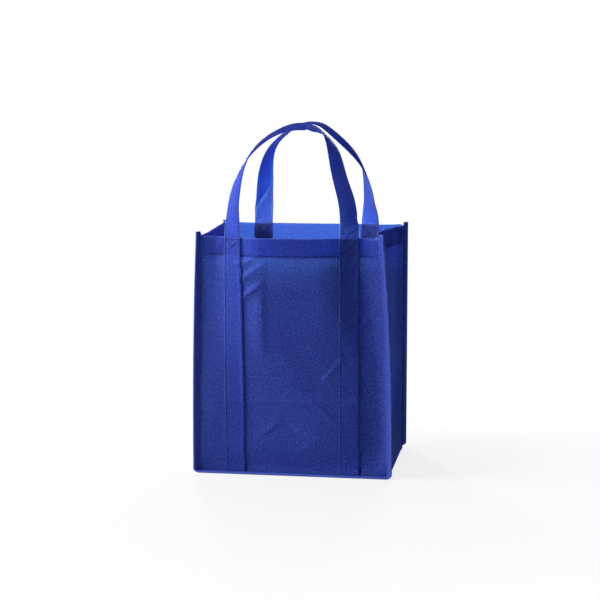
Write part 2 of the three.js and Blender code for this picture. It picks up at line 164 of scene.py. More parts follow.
def bow(face, x, z):
    left = seam_x(LEFT, face, z)
    right = seam_x(RIGHT, face, z)
    across = np.clip((2 * x - left - right) / (right - left), -1, 1)
    rise = height_share(z) ** BOW_GROWTH
    if face == BACK:
        return BACK_BOW * rise * np.cos(across * math.pi / 2) ** 2
    right_flank = smoothstep(-across, -0.93, -0.32)
    slope = 1 - CREST_FALL * np.clip((across + 0.4) / 0.8, 0, 1)
    bowed = FRONT_BOW * rise * left_flank(across, z) * slope * right_flank
    return bowed + seam_forward(RIGHT, face, z) * (1 - right_flank)


def seam_lean(angle):
    return SIDE_TURN * np.clip(1 - angle / (math.pi / 2), 0, 1) ** TURN_FADE


print("front rim bows forward", round(float(bow(FRONT, 0.0, RIM_HEIGHT)), 1), "mm at its middle")

# %% [markdown]
# Folds and wrinkles tell the eye that this is cloth. The bag was stored flat, so a fold runs across each
# panel at half the depth of the base. Pulling wrinkles fan out from the straps near the rim. They could
# be a bump in the finish, but then they would vanish at the outline and cast no shadow. So each one is a
# soft ridge along a short line, in the shape itself, and a faint crumple lies under them all.

# %% Folds and wrinkles
HEADINGS = 5  # waves of a crumple, for each of its lengths


def ridge(x, z, start, end, height, width):
    run = np.array(end, float) - np.array(start, float)
    length = math.hypot(*run)
    along = ((x - start[0]) * run[0] + (z - start[1]) * run[1]) / length**2
    off = ((x - start[0]) * run[1] - (z - start[1]) * run[0]) / length
    fade = np.sin(np.clip(along * 0.9 + 0.05, 0, 1) * math.pi) ** 0.7
    flank = width * np.where(off < 0, 1.4, 0.7)
    return height * np.exp(-((off / flank) ** 2)) * fade


def crumple(x, z, seed, ripples):
    rng = np.random.default_rng(seed)
    total = 0.0
    for length, height in ripples:
        for _ in range(HEADINGS):
            heading = rng.uniform(0, math.pi)
            phase = rng.uniform(0, 2 * math.pi)
            size = length * rng.uniform(0.75, 1.35)
            travel = x * math.cos(heading) + z * math.sin(heading)
            total = total + height * 0.45 * np.cos(2 * math.pi * travel / size + phase)
    return total


# Each ridge has a start and an end, as x and z on the panel, then a height and a width.
PANEL_RIDGES = {
    FRONT: [
        ((-82, 312), (-36, 340), 4.8, 4.2),
        ((-82, 336), (-40, 356), 4.2, 4.0),
        ((-80, 282), (-44, 308), 3.4, 4.4),
        ((-46, 190), (-44, 344), 2.4, 9.0),
        ((-126, 348), (-106, 384), 3.0, 6.0),
        ((-120, 376), (-146, 250), -2.2, 11.0),
        ((106, 240), (150, 275), 2.4, 5.5),
        ((106, 283), (150, 308), 2.0, 5.5),
        ((-150, 119), (150, 121), 1.5, 4.0),
        ((82, 76), (30, 126), 1.9, 4.0),
        ((80, 190), (50, 153), 2.0, 4.5),
        ((-56, 56), (-14, 90), 1.5, 5.0),
        ((40, 60), (-6, 24), 1.2, 5.0),
        ((120, 60), (96, 108), 0.8, 6.0),
        ((-138, 120), (-112, 90), 0.9, 6.0),
    ],
    BACK: [
        ((-150, 119), (150, 121), 1.0, 4.5),
        ((-60, 330), (-20, 300), 1.8, 5.5),
        ((72, 320), (40, 296), 1.6, 5.5),
        ((10, 250), (4, 170), 1.8, 10.0),
        ((-120, 250), (-146, 200), 1.5, 6.0),
        ((-40, 80), (-84, 40), 1.0, 6.0),
    ],
}
print("ridges of the front panel:", len(PANEL_RIDGES[FRONT]), "and of the back:", len(PANEL_RIDGES[BACK]))

# %% [markdown]
# A panel's lie puts the bow, the folds and the hollows together. Beside the right seam the cloth falls
# into a long hollow before it climbs to the front, and a shallow one runs along the foot. The folds fade
# out at the seams, where the stitching holds the cloth flat, and the double cloth of the hem softens
# them. The back rim stands a little higher than the plain bag's, and the front rim a little lower. A brush
# could sculpt all this, but a formula answers at any point, and straps and stitches have to ask it.

# %% How a panel lies
PANEL_SEED = 11
PANEL_RIPPLES = ((170, 1.5), (70, 0.5), (26, 0.16))  # length and height of each size of ripple
HOLLOW_DEPTH = 9.0
HOLLOW_WIDTH = 41.0
FOOT_HOLLOW = 2.0
# How much deeper and wider the hollow beside the right seam gets towards the rim, and how steep its
# near wall is, from 0 to 1.
HOLLOW_GROWTH = {FRONT: (5.5, 52, 0.6), BACK: (2.5, 0, 0.0)}
BACK_LIFT = 2.6
FRONT_DROP = 1.2


def seam_ease(gap):
    return (FIELD_SETBACK - SETBACK) * smoothstep(gap, 3, 45)


def hollow(gap, peak, end, steep=0.0):
    soft_wall = smoothstep(gap, 1, peak)
    steep_wall = np.sin(np.clip((gap - 1) / (peak - 1), 0, 1) * math.pi / 2)
    return ((1 - steep) * soft_wall + steep * steep_wall) * (1 - smoothstep(gap, peak, end))


def panel_lie(face, x, z):
    right = seam_x(RIGHT, face, z)
    seam_gap = np.minimum(x - seam_x(LEFT, face, z), right - x)
    ease = smoothstep(seam_gap, 10, 34) * smoothstep(z, 12, 40)
    folds = crumple(x, z, PANEL_SEED + face, PANEL_RIPPLES)
    for start, end, height, width in PANEL_RIDGES[face]:
        folds = folds + ridge(x, z, start, end, height, width)
    hem_hold = 1 - 0.55 * smoothstep(z, RIM_HEIGHT - HEM - 4, RIM_HEIGHT - HEM + 4)
    deepening, widening, steep = HOLLOW_GROWTH[face]
    growth = smoothstep(z, 180, 345)
    valley = 15 + 16 * smoothstep(z, 150, 345)
    depth = HOLLOW_DEPTH + deepening * growth
    far_edge = valley + HOLLOW_WIDTH + widening * growth
    drawn = seam_ease(seam_gap) * smoothstep(z, 2, 14)
    drawn = drawn + depth * hollow(right - x, valley, far_edge, steep) * smoothstep(z, 4, 60)
    drawn = drawn + FOOT_HOLLOW * hollow(z, 16, 60) * smoothstep(seam_gap, 2, 20)
    return bow(face, x, z) + folds * ease * hem_hold - drawn


def rim_drift(face, z):
    if face == BACK:
        return BACK_LIFT * smoothstep(z, 200, RIM_HEIGHT)
    return -FRONT_DROP * smoothstep(z, 250, RIM_HEIGHT)


def panel_reach(face, x, z):
    return SEAM_DEPTH / 2 - SETBACK + panel_lie(face, x, z)


check_x = np.linspace(-120, 120, 241)
check_z = np.full(check_x.shape, 300.0)
depths = panel_lie(FRONT, check_x, check_z) - bow(FRONT, check_x, check_z)
print("folds and hollows at 300 mm up run from", round(depths.min(), 2), "to", round(depths.max(), 2), "mm")

# %% [markdown]
# Each piece of cloth is drawn as a grid of points on its outer face and the same grid on its inner face.
# A plain surface with a Solidify modifier would be quicker, but here the thickness changes at hems and
# stitch lines. Joining the two grids round the edge gives a thin closed sheet with a real thickness.
# Every point also keeps its place on the flat cloth, in metres, so that the embossed dots follow the
# cloth and not the room. Three marks go with it: folded edges, for wear and painted highlight; double
# cloth and pressed edges, for painted shade; and the inner face, for painted light.

# %% Sheets from grids
WELD = 2e-6


def sheet_arrays(centre, half, flat, wear_and_highlight, painted_shade):
    columns, rows = centre.shape[0] - 1, centre.shape[1] - 1
    at = np.arange(centre.shape[0] * centre.shape[1]).reshape(columns + 1, rows + 1)
    front = np.stack([at[:-1, :-1], at[1:, :-1], at[1:, 1:], at[:-1, 1:]], -1).reshape(-1, 4)
    back = front[:, ::-1] + at.size
    edge = np.concatenate([at[:, 0], at[-1, 1:], at[-2::-1, -1], at[0, -2:0:-1]])
    after = np.roll(edge, -1)
    rim = np.stack([edge, edge + at.size, after + at.size, after], -1)
    points = np.concatenate([(centre + half).reshape(-1, 3), (centre - half).reshape(-1, 3)]) * MM
    places = np.tile(flat.reshape(-1, 2), (2, 1)) * MM
    marks = [np.tile(np.broadcast_to(mark, centre.shape[:2]).reshape(-1), 2) for mark in (wear_and_highlight, painted_shade)]
    marks.append(np.repeat([0.0, 1.0], at.size))
    return points, np.concatenate([front, back, rim]), places, np.stack(marks, -1)


def make_piece(name, sheet, sharp=50):
    points, faces, places, marks = sheet
    mesh = bpy.data.meshes.new(name)
    mesh.from_pydata(points.tolist(), [], faces.tolist())
    corners = places[faces.reshape(-1)].astype(np.float32).ravel()
    mesh.uv_layers.new(name="flat").data.foreach_set("uv", corners)
    for k, mark in enumerate(("wear_and_highlight", "painted_shade", "inside")):
        layer = mesh.attributes.new(mark, "FLOAT", "POINT")
        layer.data.foreach_set("value", marks[:, k].astype(np.float32))
    cleaner = bmesh.new()
    cleaner.from_mesh(mesh)
    bmesh.ops.remove_doubles(cleaner, verts=cleaner.verts, dist=WELD)
    bmesh.ops.recalc_face_normals(cleaner, faces=cleaner.faces)
    cleaner.to_mesh(mesh)
    cleaner.free()
    mesh.polygons.foreach_set("use_smooth", [True] * len(mesh.polygons))
    mesh.set_sharp_from_angle(angle=math.radians(sharp))
    piece = bpy.data.objects.new(name, mesh)
    scene.collection.objects.link(piece)
    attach(piece, "root")
    triangles = sum(len(p.vertices) - 2 for p in mesh.polygons)
    print(name, "has", triangles, "triangles")
    return piece


print("points within", 1000 * WELD, "mm of each other are welded")

# %% [markdown]
# A sheet leaves its bound seam as part of the flange, then turns into its own plane. On the sides of the
# bag the flange points out of the corner. Along the bottom it lies flat on the floor and points away.
# A bevel would round the corner but leave no flange, so the turn is worked out as an arc instead. The
# helper walks from the raw edge, ring 0, past the seam to the flat of the sheet.

# %% From the seam into the sheet
SEAM_STEPS = 4  # rings from the raw edge to the seam
EDGE_STEPS = 13  # rings from the raw edge to the flat of the sheet
STRAIGHT_SHARE = 0.25  # part of a corner's half that is straight


def turn_out(ring, turn, length):
    radius = length / np.maximum(turn, 1e-9)
    reach = ALLOWANCE * (1 - ring / SEAM_STEPS)
    walked = np.clip((ring - SEAM_STEPS) / (EDGE_STEPS - 1 - SEAM_STEPS), 0, 1)
    in_flange = ring <= SEAM_STEPS
    in_field = ring == EDGE_STEPS
    tilt = np.where(in_flange, turn, turn * (1 - walked))
    flat_turn = turn < 1e-6
    along = np.where(flat_turn, walked * length, radius * (np.sin(turn) - np.sin(tilt)))
    out = np.where(flat_turn, 0.0, -radius * (np.cos(tilt) - np.cos(turn)))
    along = np.where(in_flange, -reach * np.cos(turn), along)
    out = np.where(in_flange, reach * np.sin(turn), out)
    along = np.where(in_field, TURN_REACH, along)
    out = np.where(in_field, -radius * (1 - np.cos(turn)), out)
    tilt = np.where(in_field, 0.0, tilt)
    cloth_run = np.where(in_flange, -reach, walked * length)
    return along, out, tilt, np.where(in_field, TURN_REACH, cloth_run)


def seam_corner(side, share):
    # The seam line round a lower corner: straight, a tight bend, straight again.
    upper = share <= 0.5
    half = np.where(upper, 2 * share, 2 - 2 * share)
    bend = np.maximum(0, half - STRAIGHT_SHARE) / (1 - STRAIGHT_SHARE) * math.pi / 4
    left = (TURN_REACH - CORNER_RADIUS) * (1 - np.minimum(1, half / STRAIGHT_SHARE))
    middle = SEAM_WIDTH / 2 - CORNER_RADIUS
    upright_x = middle + CORNER_RADIUS * np.cos(bend)
    floor_x = middle - left + CORNER_RADIUS * np.sin(bend)
    upright_rise = left + CORNER_RADIUS * (1 - np.sin(bend))
    floor_rise = CORNER_RADIUS * (1 - np.cos(bend))
    x = side * np.where(upper, upright_x, floor_x)
    rise = np.where(upper, upright_rise, floor_rise)
    return x, SEAM_HEIGHT + rise, np.where(upper, bend, math.pi / 2 - bend)


corner_x = float(seam_corner(RIGHT, np.float64(0.5))[0])
print("seam line turns the corner", round(corner_x, 1), "mm from the middle")

# %% [markdown]
# Panels and gusset share their hems. The rows of the grid crowd where the cloth changes fast: at the
# hem's lower edge, at its stitches and at the rim. The hem's second layer stops short of the flanges,
# because four layers would not go under the tape, and the stitches draw a groove along it. A second sheet
# could be laid inside, but it would have to be fitted to the first, so the hem is made as double thickness.

# %% Hems
HEM_GROOVE = 0.22
HEM_GROOVE_WIDTH = 0.6
HEM_TAPER = 3  # rings over which the second layer ends


def rim_ear(ring, z):
    climb = np.where(ring <= SEAM_STEPS, 1.0, ((EDGE_STEPS - ring) / (EDGE_STEPS - SEAM_STEPS)) ** 6)
    return climb * (FLANGE_RISE - CLOTH - GAP) * smoothstep(z, RIM_HEIGHT - 14, RIM_HEIGHT - 1)


def rim_rows(low, step):
    # Height, share of the hem's second layer, and share of the thickness, for each row.
    edge = RIM_HEIGHT - HEM
    lower = round((edge - 6 - low) / step)
    rows = [(low + (edge - 6 - low) * k / lower, 0.0, 1.0) for k in range(lower + 1)]
    rows += [(edge + z, float(z > 0), 1.0) for z in (-4, -2, -0.6, -0.1, 0.1, 0.8)]
    rows += [(edge + HEM_STITCH + z, 1.0, 1.0) for z in (-1.4, -0.8, -0.4, 0, 0.4, 0.8, 1.4, 2.6)]
    upper = round((HEM - HEM_STITCH - 4) / step)
    top = edge + HEM_STITCH + 2.6
    rows += [(top + (RIM_HEIGHT - 0.6 - top) * k / upper, 1.0, 1.0) for k in range(1, upper + 1)]
    rows += [(RIM_HEIGHT - 0.25, 1.0, 0.85), (RIM_HEIGHT - 0.07, 1.0, 0.6), (RIM_HEIGHT, 1.0, 0.3)]
    return np.array(rows)


def hem_layer(hem, ring):
    return hem * np.clip((ring - EDGE_STEPS + HEM_TAPER) / HEM_TAPER, 0, 1)


def hem_groove(z, hem):
    return HEM_GROOVE * np.exp(-(((z - RIM_HEIGHT + HEM - HEM_STITCH) / HEM_GROOVE_WIDTH) ** 2)) * hem


def cloth_layers(hem, slim):
    # Middle of the cloth, from the seam line's plane, and half its thickness.
    return LAYER - CLOTH / 2 * (1 + hem), CLOTH / 2 * (1 + hem) * slim


def field_share(ring):
    return np.clip((ring - SEAM_STEPS) / (EDGE_STEPS - SEAM_STEPS), 0, 1)


print("the hem adds", round(HEM - HEM_STITCH), "mm of double cloth above its stitches")

# %% [markdown]
# A panel is one cut of cloth. Its grid follows the seam down the sides and round the two lower corners,
# and its top rows are twice as thick, where the real cloth is folded over as the hem. A flat grid that is
# bent afterwards would bunch up in the corners, so rings follow the seam and columns fill the middle.

# %% Panels
PANEL_STEP = {FRONT: 2.2, BACK: 2.8}


def panel_sheet(face):
    step = PANEL_STEP[face]
    low = SEAM_HEIGHT + TURN_REACH
    path = rim_rows(low, step)
    field = round((SEAM_WIDTH - 2 * TURN_REACH) / step)
    columns = field + 2 * EDGE_STEPS
    rows = EDGE_STEPS + len(path) - 1
    i = np.arange(columns + 1)[:, None]
    j = np.arange(rows + 1)[None, :]
    side = np.where(2 * i < columns, LEFT, RIGHT) + 0 * j
    ring_x = np.minimum(np.minimum(i, columns - i), EDGE_STEPS) + 0 * j
    ring_z = np.minimum(j, EDGE_STEPS) + 0 * i
    ring = np.minimum(ring_x, ring_z)
    row = np.clip(j - EDGE_STEPS, 0, None) + 0 * i
    z, hem, slim = [path[:, k][row] for k in range(3)]
    hem = hem_layer(hem, ring_x)

    def column_x(height):
        start = seam_x(LEFT, face, height) + TURN_REACH
        end = seam_x(RIGHT, face, height) - TURN_REACH
        return start + (end - start) * np.clip((i - EDGE_STEPS) / field, 0, 1)

    on_side = ring_z == EDGE_STEPS
    on_bottom = ~on_side & (ring_x == EDGE_STEPS)
    span = np.maximum(EDGE_STEPS - np.maximum(ring, SEAM_STEPS), 1e-9)
    share = np.minimum(1, (EDGE_STEPS - np.maximum(ring_x, ring_z)) / span)
    round_x, round_z, round_angle = seam_corner(side, np.where(ring_x <= ring_z, share / 2, 1 - share / 2))
    angle = np.where(on_side, 0.0, np.where(on_bottom, math.pi / 2, round_angle))
    seam_px = np.where(on_side, seam_x(side, face, z), np.where(on_bottom, column_x(low), round_x))
    seam_pz = np.where(on_side, z, np.where(on_bottom, SEAM_HEIGHT, round_z))
    turn = math.pi / 2 - seam_lean(angle)
    along, out, tilt, cloth_run = turn_out(ring, turn, SETBACK / (1 - np.cos(turn)) * turn)
    away_x = side * np.cos(angle)
    away_z = -np.sin(angle)
    straight = on_side | on_bottom | (ring <= SEAM_STEPS)
    toward_x = np.where(straight, -away_x, (side * (SEAM_WIDTH / 2 - TURN_REACH) - seam_px) / TURN_REACH)
    toward_z = np.where(straight, -away_z, (low - seam_pz) / TURN_REACH)
    x = np.where(ring == EDGE_STEPS, column_x(z), seam_px + toward_x * along)
    height = np.where(ring == EDGE_STEPS, z, seam_pz + toward_z * along)
    height = height + rim_ear(ring_x, height)
    drift = rim_drift(face, height) * field_share(ring_x)
    reach = SEAM_DEPTH / 2 + out + panel_lie(face, x, height) - hem_groove(height, hem)
    middle, half = cloth_layers(hem, slim)
    centre = np.stack([
        x - away_x * middle * np.sin(tilt),
        face * (reach + middle * np.cos(tilt)),
        height + drift - away_z * middle * np.sin(tilt),
    ], -1)
    normal = np.stack([-away_x * np.sin(tilt), face * np.cos(tilt), -away_z * np.sin(tilt)], -1)
    flat_x = np.where(ring == EDGE_STEPS, x, seam_px + toward_x * cloth_run)
    flat_z = np.where(ring == EDGE_STEPS, z, seam_pz + toward_z * cloth_run)
    # the folded rim is marked for wear and painted highlight, and the finish paints it paler
    wear_and_highlight = np.clip(1 - np.abs(flat_z - RIM_HEIGHT) / 1.6, 0, 1)
    return sheet_arrays(centre, normal * half[..., None], np.stack([flat_x, flat_z], -1), wear_and_highlight, hem)


front_panel = make_piece("front_panel_cloth", panel_sheet(FRONT))
back_panel = make_piece("back_panel_cloth", panel_sheet(BACK))

# %% [markdown]
# The gusset is one strip. It starts at the left rim, goes down, turns under the bag as its floor, and
# climbs to the right rim. The left side hangs straight, and its rim climbs towards the back corner. The
# right side has been pushed in between its seams, with a fold down its middle that deepens towards the
# rim, as happens when the bag is folded flat. Three separate walls would be simpler to draw, but they
# would need seams that the real strip doesn't have.

# %% How the gusset lies
GUSSET_SEED = 21
GUSSET_RIPPLES = ((150, 1.0), (60, 0.4), (24, 0.1))
SIDES_APART = 400  # shift of the ripples from side to side, so that the two sides differ
SIDE_INSET = 8.5  # right side, sunk behind its seams
INSET_MARGIN = 24.0  # seam line to the sunk part
INSET_FOOT = 90.0  # floor to the sunk part
SIDE_TUCK = 8.0  # middle of the right rim, drawn in further
TUCK_HALF = 80.0  # middle of the gusset to the edge of that tuck
FOOT_BULGE = 5.5  # foot of a side, pushed out
RIM_CLIMB = 6.0  # left rim at the back corner, above the front one
FLOOR_SAG = SEAM_HEIGHT - LAYER


def gusset_sink(side, y, z):
    seam_gap = np.maximum(0, SEAM_DEPTH / 2 - np.abs(y))
    margin = smoothstep(seam_gap, 0, INSET_MARGIN)
    foot = smoothstep(z - SEAM_HEIGHT, 0, INSET_FOOT)
    fold = np.cos(np.minimum(1, np.abs(y) / TUCK_HALF) * math.pi / 2) ** 2
    pushed = SIDE_INSET * margin * foot + SIDE_TUCK * height_share(z) ** 2 * fold
    ease = smoothstep(seam_gap, 10, 34) * smoothstep(z, 14, 50)
    centre_fold = 1.1 * np.exp(-((y / 3.5) ** 2)) * smoothstep(z, 10, 60)
    slant = ridge(y, z, (-112, 8), (0, 122), 0.8, 4.5) + ridge(y, z, (112, 8), (0, 122), 0.8, 4.5)
    ripple = crumple(y + SIDES_APART * side, z, GUSSET_SEED, GUSSET_RIPPLES)
    bulge = FOOT_BULGE * smoothstep(seam_gap, 0, 30) * (1 - smoothstep(z, 6, 60))
    folds = ease * (centre_fold + slant + ripple)
    return np.where(side > 0, pushed, 0.0) + seam_ease(seam_gap) - bulge + folds


def gusset_drift(side, y, z):
    climb = RIM_CLIMB * np.clip(0.5 + y / SEAM_DEPTH, 0, 1) * smoothstep(z, RIM_HEIGHT - 140, RIM_HEIGHT)
    return np.where(side < 0, climb, 0.0)


print("right rim is drawn in by", round(float(gusset_sink(RIGHT, np.float64(0.0), RIM_HEIGHT)), 1), "mm")

# %% [markdown]
# The strip itself is laid along its route: down the left side, round a lower corner, along the floor,
# round the other corner and up. A list of stations says where each row of the grid lies. The grid could
# be bent by a Curve modifier, but the binding needs such stations later, so one function gives them to both.

# %% Gusset
GUSSET_STEP = 3.0
SLIM = 6  # column of seam_run that holds the share of the thickness


def seam_run(step):
    # Stations along the strip: side, angle, x, z, sag, hem, slimness and whether on a wall.
    half = SEAM_WIDTH / 2 - TURN_REACH
    wall = rim_rows(SEAM_HEIGHT + TURN_REACH, step)
    steps = 2 * (EDGE_STEPS - SEAM_STEPS)
    floor = round(2 * half / step)
    stations = [(LEFT, 0.0, 0.0, z, 0.0, hem, slim, 1.0) for z, hem, slim in wall[:0:-1]]

    def add_corner(side, share):
        x, z, angle = (float(value) for value in seam_corner(side, np.float64(share)))
        stations.append((side, angle, x, z, (angle / (math.pi / 2)) ** 2, 0.0, 1.0, 0.0))

    for k in range(steps + 1):
        add_corner(LEFT, k / steps)
    for k in range(1, floor):
        x = -half + 2 * half * k / floor
        stations.append((LEFT, math.pi / 2, x, SEAM_HEIGHT, 1.0, 0.0, 1.0, 0.0))
    for k in range(steps, -1, -1):
        add_corner(RIGHT, k / steps)
    stations += [(RIGHT, 0.0, 0.0, z, 0.0, hem, slim, 1.0) for z, hem, slim in wall[1:]]
    return np.array(stations)


def gusset_sheet():
    run = seam_run(GUSSET_STEP)
    field = round((SEAM_DEPTH - 2 * TURN_REACH) / GUSSET_STEP)
    columns = field + 2 * EDGE_STEPS
    i = np.arange(columns + 1)[:, None]
    side, angle, place_x, z, sag, hem, slim, on_wall = [column[None, :] + 0 * i for column in run.T]
    face = np.where(2 * i < columns, FRONT, BACK) + 0 * z
    ring = np.minimum(np.minimum(i, columns - i), EDGE_STEPS) + 0 * z
    hem = hem_layer(hem, ring)
    along, out, tilt, cloth_run = turn_out(ring, seam_lean(angle), GUSSET_TURN)
    y = face * (SEAM_DEPTH / 2 - along)
    inner_y = (SEAM_DEPTH / 2 - TURN_REACH) * (2 * (i - EDGE_STEPS) / field - 1) + 0 * z
    y = np.where(ring == EDGE_STEPS, inner_y, y)
    share = np.clip(0.5 + y / SEAM_DEPTH, 0, 1)
    wall_x = seam_x(side, FRONT, z) * (1 - share) + seam_x(side, BACK, z) * share
    x = np.where(on_wall > 0, wall_x, place_x)
    pulled = seam_forward(side, FRONT, z) * on_wall * (1 - share)
    sunk = FLOOR_SAG * sag * np.clip((ring - SEAM_STEPS) / 3, 0, 1)
    climb = np.maximum(rim_ear(ring, z), gusset_drift(side, y, z) * field_share(ring))
    ear = np.where(on_wall > 0, climb, 0.0)
    middle, half = cloth_layers(hem, slim)
    sink = gusset_sink(side, y, z) + hem_groove(z, hem)
    away = out - sink * np.cos(angle) + middle * np.cos(tilt)
    centre = np.stack([
        x + side * np.cos(angle) * away,
        y - pulled - face * middle * np.sin(tilt),
        np.maximum(z + ear - np.sin(angle) * away - sunk, CLOTH / 2),
    ], -1)
    normal = np.stack([
        side * np.cos(angle) * np.cos(tilt),
        -face * np.sin(tilt),
        -np.sin(angle) * np.cos(tilt),
    ], -1)
    steps = np.hypot(np.diff(centre[columns // 2, :, 0]), np.diff(centre[columns // 2, :, 2]))
    length = np.concatenate([[0], np.cumsum(steps)])[None, :] + 0 * z
    flat_y = np.where(ring == EDGE_STEPS, y, face * (SEAM_DEPTH / 2 - cloth_run))
    # the folded rim is marked for wear and painted highlight, and the finish paints it paler
    wear_and_highlight = np.where((np.abs(z - RIM_HEIGHT) < 1.2) & (on_wall > 0), 1.0, 0.0)
    print("gusset strip is", round(float(length.max()) + 2 * HEM), "mm long with its hems")
    return sheet_arrays(centre, normal * half[..., None], np.stack([flat_y, length], -1), wear_and_highlight, hem)


gusset = make_piece("gusset_cloth", gusset_sheet())

# %% [markdown]
# Binding is a tape folded over the raw edges and sewn through. It starts above the rim at one top corner,
# follows the seam down, along the floor and up the other side. A curve with a bevel profile could sweep
# it, but the profile would turn by itself in the tight corners. So the folded profile is carried along
# the seam, station by station. The stitch line presses a shallow groove into it.

# %% Binding tape
TAPE_STEP = 2.6
TAPE_STITCH = 3.4  # seam line to the tape's stitches
TAPE_GROOVE = 0.28
TAPE_GROOVE_WIDTH = 0.8


def run_length(points):
    steps = np.linalg.norm(np.diff(points, axis=0), axis=1)
    return np.concatenate([[0], np.cumsum(steps)])


def binding_profile():
    tip = FLANGE - BOUND_HALF
    leg = np.linspace(CLOTH + GAP, tip, 9)
    groove = TAPE_GROOVE * np.exp(-(((leg - TAPE_STITCH) / TAPE_GROOVE_WIDTH) ** 2))
    bend = np.linspace(math.pi / 2, -math.pi / 2, 9)[1:-1]

    def folded(radius, dip):
        upper = [(r, radius - g * dip) for r, g in zip(leg, groove)]
        turn = [(tip + radius * math.cos(a), radius * math.sin(a)) for a in bend]
        return np.array(upper + turn + [(r, -lift) for r, lift in upper[::-1]])

    return folded(BOUND_HALF, 1.0), folded(BOUND_HALF - CLOTH, 0.6)


def seam_stations(face):
    run = seam_run(TAPE_STEP)
    side, angle, x, z, _, _, _, on_wall = run[run[:, SLIM] == 1].T
    z[[0, -1]] = RIM_HEIGHT + FLANGE_RISE
    lean = seam_lean(angle)
    away = np.stack([side * np.cos(angle), 0 * angle, -np.sin(angle)], -1)
    forward = np.array([0.0, face, 0.0])
    out = away * np.sin(lean)[:, None] + forward * np.cos(lean)[:, None]
    lifting = away * np.cos(lean)[:, None] - forward * np.sin(lean)[:, None]
    x = np.where(on_wall > 0, seam_x(side, face, z), x)
    depth = SEAM_DEPTH / 2 + seam_forward(side, face, z) * on_wall
    seam = np.stack([x, face * depth, z], -1)
    return seam, out, lifting


def binding_sheet(face):
    seam, out, lifting = seam_stations(face)
    outer, inner = binding_profile()

    def carry(profile):
        return seam[None] + out[None] * profile[:, 0, None, None] + lifting[None] * profile[:, 1, None, None]

    length = run_length(seam)
    width = run_length(outer)
    flat = np.stack(np.broadcast_arrays(width[:, None], length[None, :]), -1)
    # the tape's folded tip is marked for wear and painted highlight, and the finish paints it paler
    wear_and_highlight = (np.abs(outer[:, 1]) < 1.2).astype(float)[:, None]
    print("binding tape is", round(width[-1], 1), "x", round(length[-1]), "mm")
    return sheet_arrays(carry((outer + inner) / 2), carry(outer) / 2 - carry(inner) / 2, flat, wear_and_highlight, 0.0)


front_binding = make_piece("front_binding_tape", binding_sheet(FRONT))
back_binding = make_piece("back_binding_tape", binding_sheet(BACK))

# %% [markdown]
# A handle is a single strap, folded from a wider strip so that it is a little thicker and rounded. It is
# sewn to the panel from the bottom seam to the rim, goes round as a free loop, and comes down the other
# side. The loops stand up by themselves and twist outward as they rise, so the eye sees the strap turn
# edge-on and then show its other face near the top. A hanging simulation would let them fall, so the
# route of each loop is a bent arch, and a few low waves give it the sway of real cloth.

# %% Route of a strap
SEWN_ROWS = 151
LOOP_STEPS = 180
SQUARENESS = 0.87
RIM_EASING = 10  # rounds of smoothing where the strap leaves the rim
# The top's place is a share of half the depth. Sway, drift and lead are moves to the side. Turns are in
# degrees, at the two feet and at the top. Hold and lean say how soon the turn and the lean set in. The
# waves are in degrees for the twist, and in millimetres for the moves to the side and up.
LOOP = {
    FRONT: dict(
        top=-0.237, sway=8.0, drift=-9.0, lead=-2.5,
        turn=(43, 45), top_turn=112, hold=(1.9, 1.2), lean=1.85,
        twist_waves=(-4, 13, 2, -2, 2, 0, -4),
        side_waves=(14, 0, -1, 0, 0, -1),
        rise_waves=(-7, 21, -2, 1, 3)),
    BACK: dict(
        top=0.102, sway=-1.0, drift=-1.0, lead=0.0,
        turn=(33, 39), top_turn=115, hold=(1.9, 2.7), lean=1.7,
        twist_waves=(-6, -4, 13, -1, -3, -2, -2),
        side_waves=(8, 0, -1, -3, 1, 2),
        rise_waves=(5, 5, 2, 0, 3)),
}


def waves(heights, share):
    return sum(height * math.sin((k + 1) * math.pi * share) for k, height in enumerate(heights))


def strap_middle(face, side):
    return STRAP_SHIFT[face] + side * STRAP_SPACING / 2


def strap_on_panel(face, side, z):
    x = strap_middle(face, side)
    high = float(panel_reach(face, x + STRAP_WIDTH / 2, z))
    low = float(panel_reach(face, x - STRAP_WIDTH / 2, z))
    slope = (high - low) / STRAP_WIDTH
    hump = max(0.0, float(panel_reach(face, x, z)) - (high + low) / 2)
    lift = (LAYER + 1.5 * GAP + STRAP_THICKNESS / 2) * math.hypot(1, slope) + hump
    return np.array([x, face * ((high + low) / 2 + lift), z]), -side * math.atan(slope)


def loop_station(face, share):
    loop = LOOP[face]
    angle = math.pi * share
    rise = math.sin(angle) ** SQUARENESS
    run = -math.copysign(abs(math.cos(angle)) ** SQUARENESS, math.cos(angle))
    left, left_turn = strap_on_panel(face, LEFT, RIM_HEIGHT)
    right, right_turn = strap_on_panel(face, RIGHT, RIM_HEIGHT)
    foot = left + (right - left) * (run + 1) / 2
    loosened = float(smoothstep(HANDLE_RISE * rise, 0, HANDLE_RISE / 4))
    sideways = loop["sway"] * math.sin(angle) ** 2 + loop["drift"] * math.sin(2 * angle) ** 2
    sideways += loop["lead"] * loosened
    y = foot[1] + (loop["top"] * SEAM_DEPTH / 2 - foot[1]) * rise ** loop["lean"]
    end = 0 if share < 0.5 else 1
    level = abs(math.cos(angle)) ** loop["hold"][end]
    free = math.radians(loop["top_turn"] + (loop["turn"][end] - loop["top_turn"]) * level)
    held = left_turn if end == 0 else right_turn
    turn = held + (free - held) * loosened
    turn += math.radians(waves(loop["twist_waves"], share))
    x = foot[0] + sideways + waves(loop["side_waves"], share)
    return np.array([x, y, RIM_HEIGHT + HANDLE_RISE * rise + waves(loop["rise_waves"], share)]), turn


